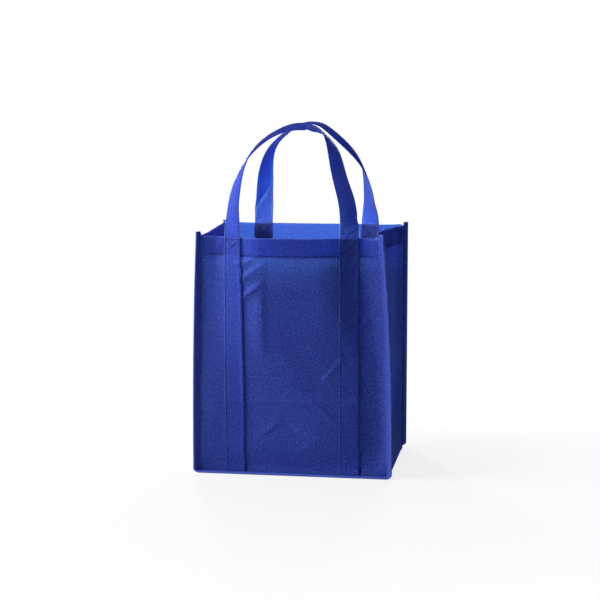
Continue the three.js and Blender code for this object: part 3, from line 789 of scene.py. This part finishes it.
def strap_line(face):
    # Middle line of the strap, its turn, and how far it is sewn down (1) or free (0).
    heights = np.linspace(SEAM_HEIGHT + BOUND_HALF + GAP, RIM_HEIGHT, SEWN_ROWS)
    line = [(*strap_on_panel(face, LEFT, z), 1.0) for z in heights]
    line += [(*loop_station(face, k / LOOP_STEPS), 0.0) for k in range(1, LOOP_STEPS)]
    line += [(*strap_on_panel(face, RIGHT, z), 1.0) for z in heights[::-1]]
    points = np.array([p for p, _, _ in line])
    turns = np.array([t for _, t, _ in line])
    near_rim = np.exp(-(((points[:, 2] - RIM_HEIGHT) / 12) ** 2))[:, None]
    for _ in range(RIM_EASING):
        eased = points.copy()
        eased[1:-1] = (points[:-2] + 2 * points[1:-1] + points[2:]) / 4
        points = points + (eased - points) * near_rim
    return points, turns, np.array([s for _, _, s in line])


print("front loop's top is", round(float(loop_station(FRONT, 0.5)[0][2])), "mm up")

# %% [markdown]
# The strap's cloth is now laid along its route. Where it is sewn it drapes over the panel, and its right
# edge curls up a little and throws a thin shadow. On the loop it cups, and it is creased where the real
# one was bent. Its long edges are pressed folds, painted darker than the middle as painted shade. A curve
# with a flat bevel could give the loop, but not the drape, so every station gets its own row of points.

# %% Straps
STRAP_CUTS = 25  # points across the strap, closer together at its edges
EDGE_CROWD = 0.98 * math.pi / 2
EDGE_STITCH = 2.8  # edge of the strap to its stitches
STRAP_GROOVE = 0.3
STRAP_GROOVE_WIDTH = 0.9
STRAP_ROUNDING = 2.0  # edge of the strap to its full thickness
CUPPING = 1.5
EDGE_CURL = {FRONT: {LEFT: 2.4, RIGHT: 1.2}, BACK: {LEFT: 0.6, RIGHT: 0.6}}
STRAP_RIDGES = {
    FRONT: [
        ((78, 372), (104, 398), 2.0, 3.4),
        ((74, 392), (104, 420), 1.6, 4.5),
        ((2, 552), (14, 536), 2.0, 2.6),
        ((-112, 395), (-84, 384), 0.9, 4.0),
    ],
    BACK: [
        ((-104, 398), (-74, 446), 3.0, 3.8),
        ((-100, 384), (-76, 392), 0.8, 4.0),
        ((84, 400), (112, 408), 0.9, 5.0),
    ],
}


def strap_frame(face, points, turns):
    forward = np.gradient(points, axis=0)
    forward /= np.linalg.norm(forward, axis=1)[:, None]
    outward = np.array([0.0, face, 0.0])
    facing = outward - forward * (forward @ outward)[:, None]
    facing /= np.linalg.norm(facing, axis=1)[:, None]
    outside = np.cross(facing, forward) * -face
    normal = facing * np.cos(turns)[:, None] + outside * np.sin(turns)[:, None]
    return normal, np.cross(forward, normal)


def strap_body(face):
    points, turns, sewn = strap_line(face)
    normal, across = strap_frame(face, points, turns)
    half = STRAP_WIDTH / 2
    cuts = half * np.sin(np.linspace(-1, 1, STRAP_CUTS) * EDGE_CROWD) / math.sin(EDGE_CROWD)
    centre = points[None] + across[None] * cuts[:, None, None]
    x, z = centre[..., 0], centre[..., 2]
    draped = face * (panel_reach(face, x, z) + LAYER + GAP + STRAP_THICKNESS / 2)
    hold = sewn[None, :] * (1 - smoothstep(z, RIM_HEIGHT - 30, RIM_HEIGHT - 2))
    centre[..., 1] += (draped - centre[..., 1]) * hold
    leg = [LEFT if k < len(points) / 2 else RIGHT for k in range(len(points))]
    off = (x - np.array([strap_middle(face, side) for side in leg])) / half
    curl = np.array([EDGE_CURL[face][side] for side in leg]) * sewn * (0.4 + 0.6 * height_share(z))
    centre[..., 1] += face * curl * smoothstep(off, 0.55, 1.0)
    free = smoothstep(points[:, 2], RIM_HEIGHT + 4, RIM_HEIGHT + 40)[None, :]
    bend = -CUPPING * free * ((cuts / half) ** 2)[:, None]
    for start, end, height, width in STRAP_RIDGES[face]:
        bend = bend + ridge(x, z, start, end, height, width)
    centre = centre + normal[None] * bend[..., None]
    return centre, normal, cuts, run_length(points), points


strap_shapes = {face: strap_body(face) for face in (FRONT, BACK)}


def strap_half(cuts):
    edge = STRAP_WIDTH / 2 - np.abs(cuts)
    rounded = np.sqrt(np.clip(edge / STRAP_ROUNDING, 0.05, 1))
    groove = STRAP_GROOVE * np.exp(-(((edge - EDGE_STITCH) / STRAP_GROOVE_WIDTH) ** 2))
    return STRAP_THICKNESS / 2 * rounded - groove


def strap_sheet(face):
    centre, normal, cuts, length, _ = strap_shapes[face]
    half = strap_half(cuts)[:, None, None]
    flat = np.stack(np.broadcast_arrays(cuts[:, None], length[None, :]), -1)
    # the pressed edges are marked for painted shade, which the finish paints darker
    pressed_edge_shade = np.clip(1.6 - (STRAP_WIDTH / 2 - np.abs(cuts)) / 1.6, 0, 1)[:, None]
    print("strap is", round(length[-1]), "mm long")
    return sheet_arrays(centre, normal[None] * half, flat, 0.0, pressed_edge_shade)


front_handle = make_piece("front_handle_strap", strap_sheet(FRONT), sharp=80)
back_handle = make_piece("back_handle_strap", strap_sheet(BACK), sharp=80)

# %% [markdown]
# A loose stiff board lies on the floor of the bag and keeps it flat. Only its upper face can be seen,
# from above. A box with a bevel would do, but the same grid as for the cloth also gives it the crease
# across its middle, where it was folded once, and the wear along its edge.

# %% Base board
BOARD_LENGTH = 282.0
BOARD_WIDTH = 219.6
BOARD_CORNER = 6.0
BOARD_THICKNESS = 2.0
BOARD_CREASE = 0.35
BOARD_POINTS = (61, 49)


def board_sheet():
    u = np.linspace(-1, 1, BOARD_POINTS[0])[:, None]
    v = np.linspace(-1, 1, BOARD_POINTS[1])[None, :]
    inner_x = BOARD_LENGTH / 2 - BOARD_CORNER
    inner_y = BOARD_WIDTH / 2 - BOARD_CORNER
    x = BOARD_LENGTH / 2 * u + 0 * v
    y = BOARD_WIDTH / 2 * v + 0 * u
    over_x = np.maximum(0, np.abs(x) - inner_x)
    over_y = np.maximum(0, np.abs(y) - inner_y)
    pull = np.maximum(1, np.hypot(over_x, over_y) / BOARD_CORNER)
    x = np.sign(x) * (np.minimum(np.abs(x), inner_x) + over_x / pull)
    y = np.sign(y) * (np.minimum(np.abs(y), inner_y) + over_y / pull)
    low = CLOTH + GAP
    crease = BOARD_CREASE * np.exp(-((x / 2.2) ** 2))
    top = np.stack([x, y, low + BOARD_THICKNESS - crease], -1)
    bottom = np.stack([x, y, np.full(x.shape, low)], -1)
    wear_and_highlight = np.clip(1 - (1 - np.maximum(np.abs(u) + 0 * v, np.abs(v) + 0 * u)) * 30, 0, 1)
    return sheet_arrays((top + bottom) / 2, (top - bottom) / 2, np.stack([x, y], -1), wear_and_highlight, 0.0)


base_board = make_piece("base_board_slab", board_sheet())

# %% [markdown]
# Thread holds it all together: two rows along every strap, one row along the lower edge of each hem, one
# row through each binding, and a crossed box where a strap meets the rim. Painted dashes would be flat
# up close. So each stitch is a short piece of thread that rises out of the cloth and dips back into it.

# %% Shape of a stitch
STITCH = 2.7  # length of a stitch
PITCH = 4.3  # one stitch to the next
THREAD_SIDES = 5
STITCH_SEED = 5
STITCH_SWING = 0.09  # how far stitches turn from their line, as a slope
STITCH_ALONG = (-0.5, -0.36, 0.0, 0.36, 0.5)
STITCH_RISE = (-0.22, 0.04, 0.12, 0.04, -0.22)
STITCH_RADIUS = (0.2, 0.5, 0.58, 0.5, 0.2)


def stitch_rows(points, normals):
    # Stitches along a line of points: their middles, headings and lifts.
    length = run_length(points)
    marks = np.arange(PITCH / 2, length[-1] - PITCH / 2, PITCH)

    def at(values, where):
        return np.stack([np.interp(where, length, values[:, k]) for k in range(3)], -1)

    heading = at(points, marks + STITCH / 2) - at(points, marks - STITCH / 2)
    return at(points, marks), heading, at(normals, marks)


def thread_arrays(rows):
    middles, heading, lift = [np.concatenate(parts) for parts in zip(*rows)]
    heading /= np.linalg.norm(heading, axis=1)[:, None]
    lift = lift - heading * np.sum(lift * heading, axis=1)[:, None]
    lift /= np.linalg.norm(lift, axis=1)[:, None]
    beside = np.cross(heading, lift)
    rng = np.random.default_rng(STITCH_SEED)
    swing = rng.normal(0, STITCH_SWING, len(middles))[:, None]
    heading, beside = heading + beside * swing, beside - heading * swing
    rings = []
    for share, rise, radius in zip(STITCH_ALONG, STITCH_RISE, STITCH_RADIUS):
        for a in np.arange(THREAD_SIDES) * 2 * math.pi / THREAD_SIDES:
            out = lift * (rise + radius * math.sin(a)) + beside * radius * math.cos(a)
            rings.append(middles + heading * (share * STITCH) + out)
    points = np.stack(rings, 1)
    count = points.shape[1]
    quads = []
    for ring in range(0, count - THREAD_SIDES, THREAD_SIDES):
        for k in range(THREAD_SIDES):
            a = ring + k
            b = ring + (k + 1) % THREAD_SIDES
            quads.append((a, b, b + THREAD_SIDES, a + THREAD_SIDES))
    faces = (np.array(quads)[None] + (np.arange(len(middles)) * count)[:, None, None]).reshape(-1, 4)
    flat = np.zeros((points.shape[0] * count, 2))
    return points.reshape(-1, 3) * MM, faces, flat, np.zeros((points.shape[0] * count, 3))


print("stitches are", STITCH, "mm long and", PITCH, "mm apart")

# %% [markdown]
# Each row of stitches needs a line to follow, and the direction that is up from the cloth there. The line
# could be snapped to the finished mesh, but the formulas of the cloth give both at once. A hem shows its
# stitches all along its inside, and outside wherever no strap covers them.

# %% Stitches of the hems and the binding
HEM_END = 13.0  # seam line to the ends of a panel's hem stitches
GUSSET_HEM_END = 14.0
LINE_POINTS = 400
PART_POINTS = 150
GUSSET_POINTS = 200
TAPE_THREAD_SINK = ((1, 0.55), (-1, 0.25))  # the two faces of the tape, and how far the thread sinks in


def panel_skin(face, x, z, inside=False):
    offset = LAYER - 2 * CLOTH if inside else LAYER
    y = face * (panel_reach(face, x, z) + offset)
    aim = np.zeros((len(x), 3))
    aim[:, 1] = -face if inside else face
    return np.stack([x, y, z + rim_drift(face, z)], -1), aim


def hem_rows(face):
    level = RIM_HEIGHT - HEM + HEM_STITCH
    start = seam_x(LEFT, face, level) + HEM_END
    end = seam_x(RIGHT, face, level) - HEM_END
    whole = np.linspace(start, end, LINE_POINTS)
    rows = [stitch_rows(*panel_skin(face, whole, np.full(LINE_POINTS, level), inside=True))]
    edges = [strap_middle(face, s) + e * (STRAP_WIDTH / 2 + 0.5) for s in (LEFT, RIGHT) for e in (-1, 1)]
    stops = [start, *edges, end]
    for first, last in zip(stops[::2], stops[1::2]):
        part = np.linspace(first, last, PART_POINTS)
        rows.append(stitch_rows(*panel_skin(face, part, np.full(PART_POINTS, level))))
    return rows


def gusset_hem_rows():
    rows = []
    y = np.linspace(-SEAM_DEPTH / 2 + GUSSET_HEM_END, SEAM_DEPTH / 2 - GUSSET_HEM_END, GUSSET_POINTS)
    z = np.full(y.shape, RIM_HEIGHT - HEM + HEM_STITCH)
    share = 0.5 + y / SEAM_DEPTH
    for side in (LEFT, RIGHT):
        plane = seam_x(side, FRONT, z) * (1 - share) + seam_x(side, BACK, z) * share
        pulled = seam_forward(side, FRONT, z) * (1 - share)
        for inside in (False, True):
            offset = LAYER - 2 * CLOTH if inside else LAYER
            x = plane + side * (offset - SETBACK - gusset_sink(side, y, z))
            aim = np.zeros((len(y), 3))
            aim[:, 0] = -side if inside else side
            rows.append(stitch_rows(np.stack([x, y - pulled, z + gusset_drift(side, y, z)], -1), aim))
    return rows


def binding_rows(face):
    seam, out, lifting = seam_stations(face)
    rows = []
    for way, sunk in TAPE_THREAD_SINK:
        line = seam + out * TAPE_STITCH + lifting * way * (BOUND_HALF - sunk)
        rows.append(stitch_rows(line, lifting * way))
    return rows


print("front hem has", sum(len(row[0]) for row in hem_rows(FRONT)), "stitches")

# %% [markdown]
# The strap's stitches run along both of its long edges. On the panel they show on its outer face alone,
# and on the loop they show on both faces. The crossed box is sewn through strap, panel and hem, so the
# same stitches are drawn once on the strap and once inside the bag.

# %% Stitches of the straps
BOX_MARGIN = 5.0  # box to the rim, and to the hem's lower edge
BOX_INSET = 4.4  # box to the strap's edges
BOX_POINTS = 60
LOOP_SINK = 0.3  # stitches of the free loop, pulled into the cloth


def strap_rows(face):
    centre, normal, cuts, _, points = strap_shapes[face]
    rows = []
    inset = STRAP_WIDTH / 2 - EDGE_STITCH
    free = points[:, 2] > RIM_HEIGHT + 2
    for cut in (-inset, inset):
        k = int(np.argmin(np.abs(cuts - cut)))
        half = strap_half(cuts[k:k + 1])[0] - LOOP_SINK * free[:, None]
        rows.append(stitch_rows(centre[k] + normal * half, normal))
        rows.append(stitch_rows((centre[k] - normal * half)[free], -normal[free]))
    return rows


def strap_skin(face, side, x, z):
    # Points on the outer face of a sewn strap, at places x and heights z.
    centre, normal, _, _, points = strap_shapes[face]
    skin = centre + normal[None] * (STRAP_THICKNESS / 2)
    leg = np.arange(SEWN_ROWS) if side == LEFT else len(points) - 1 - np.arange(SEWN_ROWS)
    depth = []
    for place, height in zip(x, z):
        row = int(np.clip(np.searchsorted(points[leg, 2], height), 1, SEWN_ROWS - 1))
        order = np.argsort(skin[:, leg[row], 0])
        depth.append(np.interp(place, skin[order, leg[row], 0], skin[order, leg[row], 1]))
    aim = np.zeros((len(x), 3))
    aim[:, 1] = face
    return np.stack([x, np.array(depth), z], -1), aim


def box_rows(face):
    low, high = RIM_HEIGHT - HEM + BOX_MARGIN, RIM_HEIGHT - BOX_MARGIN
    reach = STRAP_WIDTH / 2 - BOX_INSET
    box = [((-1, 0), (1, 0)), ((-1, 1), (1, 1)), ((-1, 0), (1, 1)), ((-1, 1), (1, 0))]
    rows = []
    for side in (LEFT, RIGHT):
        middle = strap_middle(face, side)
        for start, end in box:
            t = np.linspace(0, 1, BOX_POINTS)
            x = middle + reach * (start[0] + (end[0] - start[0]) * t)
            z = low + (high - low) * (start[1] + (end[1] - start[1]) * t)
            rows.append(stitch_rows(*strap_skin(face, side, x, z)))
            rows.append(stitch_rows(*panel_skin(face, x, z, inside=True)))
    return rows


thread = {}
for word, face in (("front", FRONT), ("back", BACK)):
    sewn_rows = strap_rows(face) + box_rows(face)
    thread[word + "_handle"] = make_piece(word + "_handle_thread", thread_arrays(sewn_rows))
    thread[word + "_panel"] = make_piece(word + "_hem_thread", thread_arrays(hem_rows(face)))
    thread[word + "_binding"] = make_piece(word + "_binding_thread", thread_arrays(binding_rows(face)))
thread["gusset"] = make_piece("gusset_hem_thread", thread_arrays(gusset_hem_rows()))

# %% [markdown]
# Finishes are made of shader nodes. Pictures of cloth could be wrapped on instead, but nodes stay sharp
# at any distance and need no file. These short helpers add a node, join two nodes, and do sums, so that
# the finishes below read like recipes.

# %% Node helpers
def wire(tree, start, end):
    tree.links.new(start, end)


def add_node(tree, kind, **settings):
    node = tree.nodes.new(kind)
    for name, value in settings.items():
        if name in node.inputs:
            node.inputs[name].default_value = value
        else:
            setattr(node, name, value)
    return node


def math_node(tree, operation, *values):
    node = add_node(tree, "ShaderNodeMath", operation=operation)
    for socket, value in zip(node.inputs, values):
        if isinstance(value, (int, float)):
            socket.default_value = value
        else:
            wire(tree, value, socket)
    return node.outputs[0]


def mix_colour(tree, factor, first, second):
    node = add_node(tree, "ShaderNodeMix", data_type="RGBA")
    wire(tree, factor, node.inputs["Factor"])
    for socket, value in ((node.inputs[6], first), (node.inputs[7], second)):
        if isinstance(value, tuple):
            socket.default_value = (*value, 1)
        else:
            wire(tree, value, socket)
    return node.outputs[2]


def noise(tree, vector, scale, detail, roughness):
    node = add_node(tree, "ShaderNodeTexNoise", Scale=scale, Detail=detail, Roughness=roughness)
    wire(tree, vector, node.inputs["Vector"])
    return node.outputs["Fac"]


def spread(tree, value, source=(0.0, 1.0), result=(0.0, 1.0)):
    node = add_node(tree, "ShaderNodeMapRange")
    for name, number in zip(("From Min", "From Max", "To Min", "To Max"), (*source, *result)):
        node.inputs[name].default_value = number
    wire(tree, value, node.inputs["Value"])
    return node.outputs[0]


def read_mark(tree, name):
    return add_node(tree, "ShaderNodeAttribute", attribute_name=name).outputs["Fac"]


def new_finish(name):
    material = bpy.data.materials.new(name)
    material.use_nodes = True
    tree = material.node_tree
    return material, tree, tree.nodes["Principled BSDF"]


def flat_places(tree):
    return add_node(tree, "ShaderNodeUVMap", uv_map="flat").outputs[0]


def bumped(tree, shade, height, strength, distance):
    bump = add_node(tree, "ShaderNodeBump", Strength=strength, Distance=distance)
    wire(tree, height, bump.inputs["Height"])
    wire(tree, bump.outputs[0], shade.inputs["Normal"])


helpers = (add_node, math_node, mix_colour, noise, spread, read_mark, bumped)
print("node helpers:", *(helper.__name__ for helper in helpers))

# %% [markdown]
# Non-woven cloth is made of fine plastic fibres pressed together by a hot roller with tiny pegs, so it has
# a grid of pressed dots. It is matt, and thin layers let some light through, which is why the mouth of
# the bag glows. The dots come from two sine waves on the flat cloth, the fibres and the uneven dye from
# noise. Double cloth and the pressed edges of the straps are painted darker, as painted shade. Folded
# edges are painted paler, partly as wear and partly as painted highlight, and the inside is painted paler
# as painted light. The light that comes through is subsurface scattering. A translucent shader would also
# pass light, but it gives no soft depth.

# %% Cloth finish
DOT_PITCH = 0.0028  # in metres, as the places on the flat cloth are


def dot_grid(tree, flat):
    waves_per_metre = 2 * math.pi / DOT_PITCH
    stretched = add_node(tree, "ShaderNodeMapping", Scale=(waves_per_metre, waves_per_metre, 1))
    wire(tree, flat, stretched.inputs["Vector"])
    parts = add_node(tree, "ShaderNodeSeparateXYZ")
    wire(tree, stretched.outputs[0], parts.inputs[0])
    across = math_node(tree, "SINE", parts.outputs[0])
    along = math_node(tree, "SINE", parts.outputs[1])
    return math_node(tree, "MULTIPLY", across, along)


def cloth_colour(tree, flat, dots, speckle, colours, painted_shade_strength):
    deep, light, worn_and_lit = colours
    dye = noise(tree, flat, 14.0, 4.0, 0.55)
    patchy = spread(tree, speckle, source=(0.34, 0.66))
    cloudy = math_node(tree, "MULTIPLY", dye, 0.3)
    blotch = math_node(tree, "ADD", cloudy, math_node(tree, "MULTIPLY", patchy, 0.65))
    uneven = math_node(tree, "MULTIPLY_ADD", dots, 0.5, blotch)
    # double cloth and pressed strap edges are painted darker: painted shade
    unshaded = math_node(tree, "MULTIPLY_ADD", read_mark(tree, "painted_shade"), -painted_shade_strength, 1.0)
    colour = mix_colour(tree, math_node(tree, "MULTIPLY", uneven, unshaded), deep, light)
    # folded edges are painted paler, partly as wear and partly as painted highlight
    scuff_and_highlight = math_node(tree, "MULTIPLY", read_mark(tree, "wear_and_highlight"), math_node(tree, "MULTIPLY", speckle, 0.9))
    colour = mix_colour(tree, scuff_and_highlight, colour, worn_and_lit)
    # the inner face is painted paler: painted light, standing in for light that comes through the cloth
    return mix_colour(tree, math_node(tree, "MULTIPLY", read_mark(tree, "inside"), 0.3), colour, worn_and_lit)


def cloth_finish(
        name, colours, dent=0.0003, through=0.85, glow=(0.62, 0.8, 1.0),
        gloss=0.06, depth=0.006, painted_shade_strength=0.3):
    material, tree, shade = new_finish(name)
    flat = flat_places(tree)
    dots = dot_grid(tree, flat)
    speckle = noise(tree, flat, 270.0, 3.0, 0.6)
    fibres = noise(tree, flat, 900.0, 2.0, 0.6)
    bumped(tree, shade, math_node(tree, "MULTIPLY_ADD", dots, 0.5, fibres), 0.7, dent)
    wire(tree, cloth_colour(tree, flat, dots, speckle, colours, painted_shade_strength), shade.inputs["Base Color"])
    wire(tree, spread(tree, speckle, result=(0.5, 0.72)), shade.inputs["Roughness"])
    shade.inputs["Specular IOR Level"].default_value = gloss
    shade.inputs["Sheen Weight"].default_value = 0.04
    shade.inputs["Sheen Roughness"].default_value = 0.45
    shade.inputs["Sheen Tint"].default_value = (0.55, 0.66, 1.0, 1)
    shade.inputs["Subsurface Weight"].default_value = through
    shade.inputs["Subsurface Radius"].default_value = glow
    shade.inputs["Subsurface Scale"].default_value = depth
    return material


print("dots of the cloth are", 1000 * DOT_PITCH, "mm apart")

# %% [markdown]
# All the cloth has the same dye. The tape is painted a little lighter, which is painted light on its rounded
# folds. What differs besides is how the layers lie and how much light they pass: the front is lit from
# its own side, while the back panel, the gusset and the loops are seen against the light. One finish for
# all would make the front too pale or the mouth too dark. The thread is almost black, which is partly
# painted shade for the dimples that the stitches pull into the cloth.

# %% Cloths of the bag
# each set is the deep and light tone of the dye, then a pale tone for wear, painted highlight and painted
# light
BLUE = ((0.020, 0.038, 0.27), (0.066, 0.115, 0.63), (0.13, 0.19, 0.68))
# the tape is painted lighter than the other cloth: painted light on its rounded folds
TAPE_BLUE_PAINTED_LIGHTER = ((0.036, 0.062, 0.42), (0.082, 0.138, 0.74), (0.15, 0.21, 0.76))
# near-black thread: partly painted shade for the dimples round the stitches
THREAD_BLUE_WITH_SHADE = ((0.004, 0.007, 0.045), (0.010, 0.018, 0.10), (0.03, 0.05, 0.25))
front_cloth = cloth_finish("front_cloth", BLUE, through=0.35, glow=(0.42, 0.58, 1.0))
back_cloth = cloth_finish("panel_cloth", BLUE, through=0.9)
gusset_cloth = cloth_finish(
    "gusset_cloth", BLUE, through=0.8, glow=(0.4, 0.58, 1.0), gloss=0.0, depth=0.0055, painted_shade_strength=0.8)
tape_cloth = cloth_finish("tape_cloth", TAPE_BLUE_PAINTED_LIGHTER, through=0.3)
strap_cloth = cloth_finish(
    "strap_cloth", BLUE, through=0.7, glow=(0.72, 0.86, 1.0), gloss=0.03, depth=0.0065, painted_shade_strength=0.8)
back_strap_cloth = cloth_finish(
    "back_strap_cloth", BLUE, through=0.85, glow=(0.66, 0.82, 1.0), gloss=0.0, depth=0.0075, painted_shade_strength=0.8)
thread_cloth = cloth_finish("thread_cloth", THREAD_BLUE_WITH_SHADE, dent=0.0001, through=0.0)
cloths = (front_cloth, back_cloth, gusset_cloth, tape_cloth, strap_cloth, back_strap_cloth, thread_cloth)
print("cloth finishes:", *(cloth.name for cloth in cloths))

# %% [markdown]
# The board is dark pressed plastic with a fine grain, a little scuffed where things have slid over it. A
# single grey would look like a hole in the floor of the bag, so noise mixes two greys and roughens it.

# %% Board finish
def board_finish():
    material, tree, shade = new_finish("board_plastic")
    flat = flat_places(tree)
    grain = noise(tree, flat, 700.0, 3.0, 0.6)
    scuffs = noise(tree, flat, 30.0, 6.0, 0.7)
    colour = mix_colour(tree, scuffs, (0.022, 0.022, 0.026), (0.042, 0.042, 0.047))
    rubbed = math_node(tree, "MULTIPLY", read_mark(tree, "wear_and_highlight"), scuffs)
    wire(tree, mix_colour(tree, rubbed, colour, (0.12, 0.12, 0.125)), shade.inputs["Base Color"])
    wire(tree, spread(tree, scuffs, result=(0.5, 0.75)), shade.inputs["Roughness"])
    bumped(tree, shade, grain, 0.4, 0.0002)
    return material


board_plastic = board_finish()
print("board finish:", board_plastic.name)

# %% [markdown]
# Now every piece takes its finish, and the plain solid that it stands for is hidden. The drawn pieces
# bow and crease, so the lengths that were printed above differ a little from those of the sewing pattern,
# which is what a maker would cut.

# %% Dress the pieces
dressed = {
    "front_panel": (front_panel, front_cloth, "cloth"),
    "back_panel": (back_panel, back_cloth, "cloth"),
    "gusset": (gusset, gusset_cloth, "cloth"),
    "front_binding": (front_binding, tape_cloth, "binding"),
    "back_binding": (back_binding, tape_cloth, "binding"),
    "front_handle": (front_handle, strap_cloth, "strap"),
    "back_handle": (back_handle, back_strap_cloth, "strap"),
    "base_board": (base_board, board_plastic, "board"),
}
for node, (piece, finish, slot) in dressed.items():
    piece.data.materials.append(finish)
    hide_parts(node)
for node, piece in thread.items():
    piece.data.materials.append(thread_cloth)

print(len(dressed), "pieces dressed, and", len(thread), "sets of stitches")

# %% [markdown]
# The bag stands on a pale floor. The floor is plain matt paint to the light, so it bounces light and keeps
# the shadow of the bag. More light on it would make it white, but it would also wash out the bag. So to
# the camera most of it shines white by itself, as the far background does.

# %% Floor
FLOOR_HALF = 4.0
FLOOR_DROP = 0.0002  # floor below the bag, so that no face lies in another


def seen_directly(tree):
    path = add_node(tree, "ShaderNodeLightPath")
    seen = math_node(tree, "MAXIMUM", path.outputs["Is Camera Ray"], path.outputs["Is Glossy Ray"])
    return math_node(tree, "MAXIMUM", seen, path.outputs["Is Transmission Ray"])


def show_white(tree, factor, plain, white, output):
    blend = add_node(tree, "ShaderNodeMixShader")
    for start, socket in zip((factor, plain.outputs[0], white.outputs[0]), blend.inputs):
        wire(tree, start, socket)
    wire(tree, blend.outputs[0], tree.nodes[output].inputs["Surface"])


def floor_finish():
    material, tree, shade = new_finish("pale_floor")
    shade.inputs["Base Color"].default_value = (0.82, 0.82, 0.82, 1)
    shade.inputs["Roughness"].default_value = 0.9
    shade.inputs["Specular IOR Level"].default_value = 0.1
    place = add_node(tree, "ShaderNodeTexCoord")
    far = add_node(tree, "ShaderNodeVectorMath", operation="LENGTH")
    wire(tree, place.outputs["Object"], far.inputs[0])
    share = spread(tree, far.outputs["Value"], source=(0.15, 0.9), result=(0.8, 1.0))
    white = add_node(tree, "ShaderNodeEmission", Color=(1, 1, 1, 1), Strength=1.0)
    factor = math_node(tree, "MULTIPLY", seen_directly(tree), share)
    show_white(tree, factor, shade, white, "Material Output")
    return material


floor_mesh = bpy.data.meshes.new("floor")
corner_ways = ((-1, -1), (1, -1), (1, 1), (-1, 1))
floor_corners = [(FLOOR_HALF * x, FLOOR_HALF * y, -FLOOR_DROP) for x, y in corner_ways]
floor_mesh.from_pydata(floor_corners, [], [(0, 1, 2, 3)])
floor = bpy.data.objects.new("floor", floor_mesh)
floor.data.materials.append(floor_finish())
scene.collection.objects.link(floor)
print("floor is", 2 * FLOOR_HALF, "m wide")

# %% [markdown]
# The world is the room around the bag. To the light it is nearly dark, so that the lamps alone shape the
# cloth, and to the camera it is white. A picture of a studio could light the bag too, but it would come
# from all round and flatten the folds.

# %% Background
world = bpy.data.worlds.new("studio")
scene.world = world
world.use_nodes = True
room = world.node_tree.nodes["Background"]
room.inputs["Color"].default_value = (0.95, 0.97, 1.0, 1)
room.inputs["Strength"].default_value = 0.02
white_room = add_node(world.node_tree, "ShaderNodeBackground", Color=(1, 1, 1, 1), Strength=1.0)
show_white(world.node_tree, seen_directly(world.node_tree), room, white_room, "World Output")
print("background is white to the camera")

# %% [markdown]
# Five soft lamps light the bag. One stands far to the left, one on the left in front and one high up, so
# that whatever faces left is bright and whatever faces right falls dark. Two more stand behind, and shine
# through the back panel, the gusset and the loops. One bright sun would be simpler, but its shadows are
# hard and it leaves the mouth of the bag dark.

# %% Lamps
LAMP_AIM = (0, 0, 0.28)
LAMPS = [
    ("side_lamp", (-2.335, -0.245, 0.78), 0.6, 36),
    ("front_lamp", (-1.92, -1.35, 0.78), 0.6, 18),
    ("high_lamp", (-1.13, -0.58, 2.32), 0.6, 26),
    ("back_lamp", (-0.88, 2.2, 0.70), 0.25, 52),
    ("far_lamp", (0.25, 2.3, 0.95), 0.4, 38),
]
for name, place, size, power in LAMPS:
    light = bpy.data.lights.new(name, "AREA")
    light.shape = "SQUARE"
    light.size = size
    light.energy = power
    holder = bpy.data.objects.new(name, light)
    holder.location = place
    holder.rotation_euler = (Vector(place) - Vector(LAMP_AIM)).to_track_quat("Z", "Y").to_euler()
    scene.collection.objects.link(holder)
print(len(LAMPS), "lamps, of", sum(power for _, _, _, power in LAMPS), "watts in all")
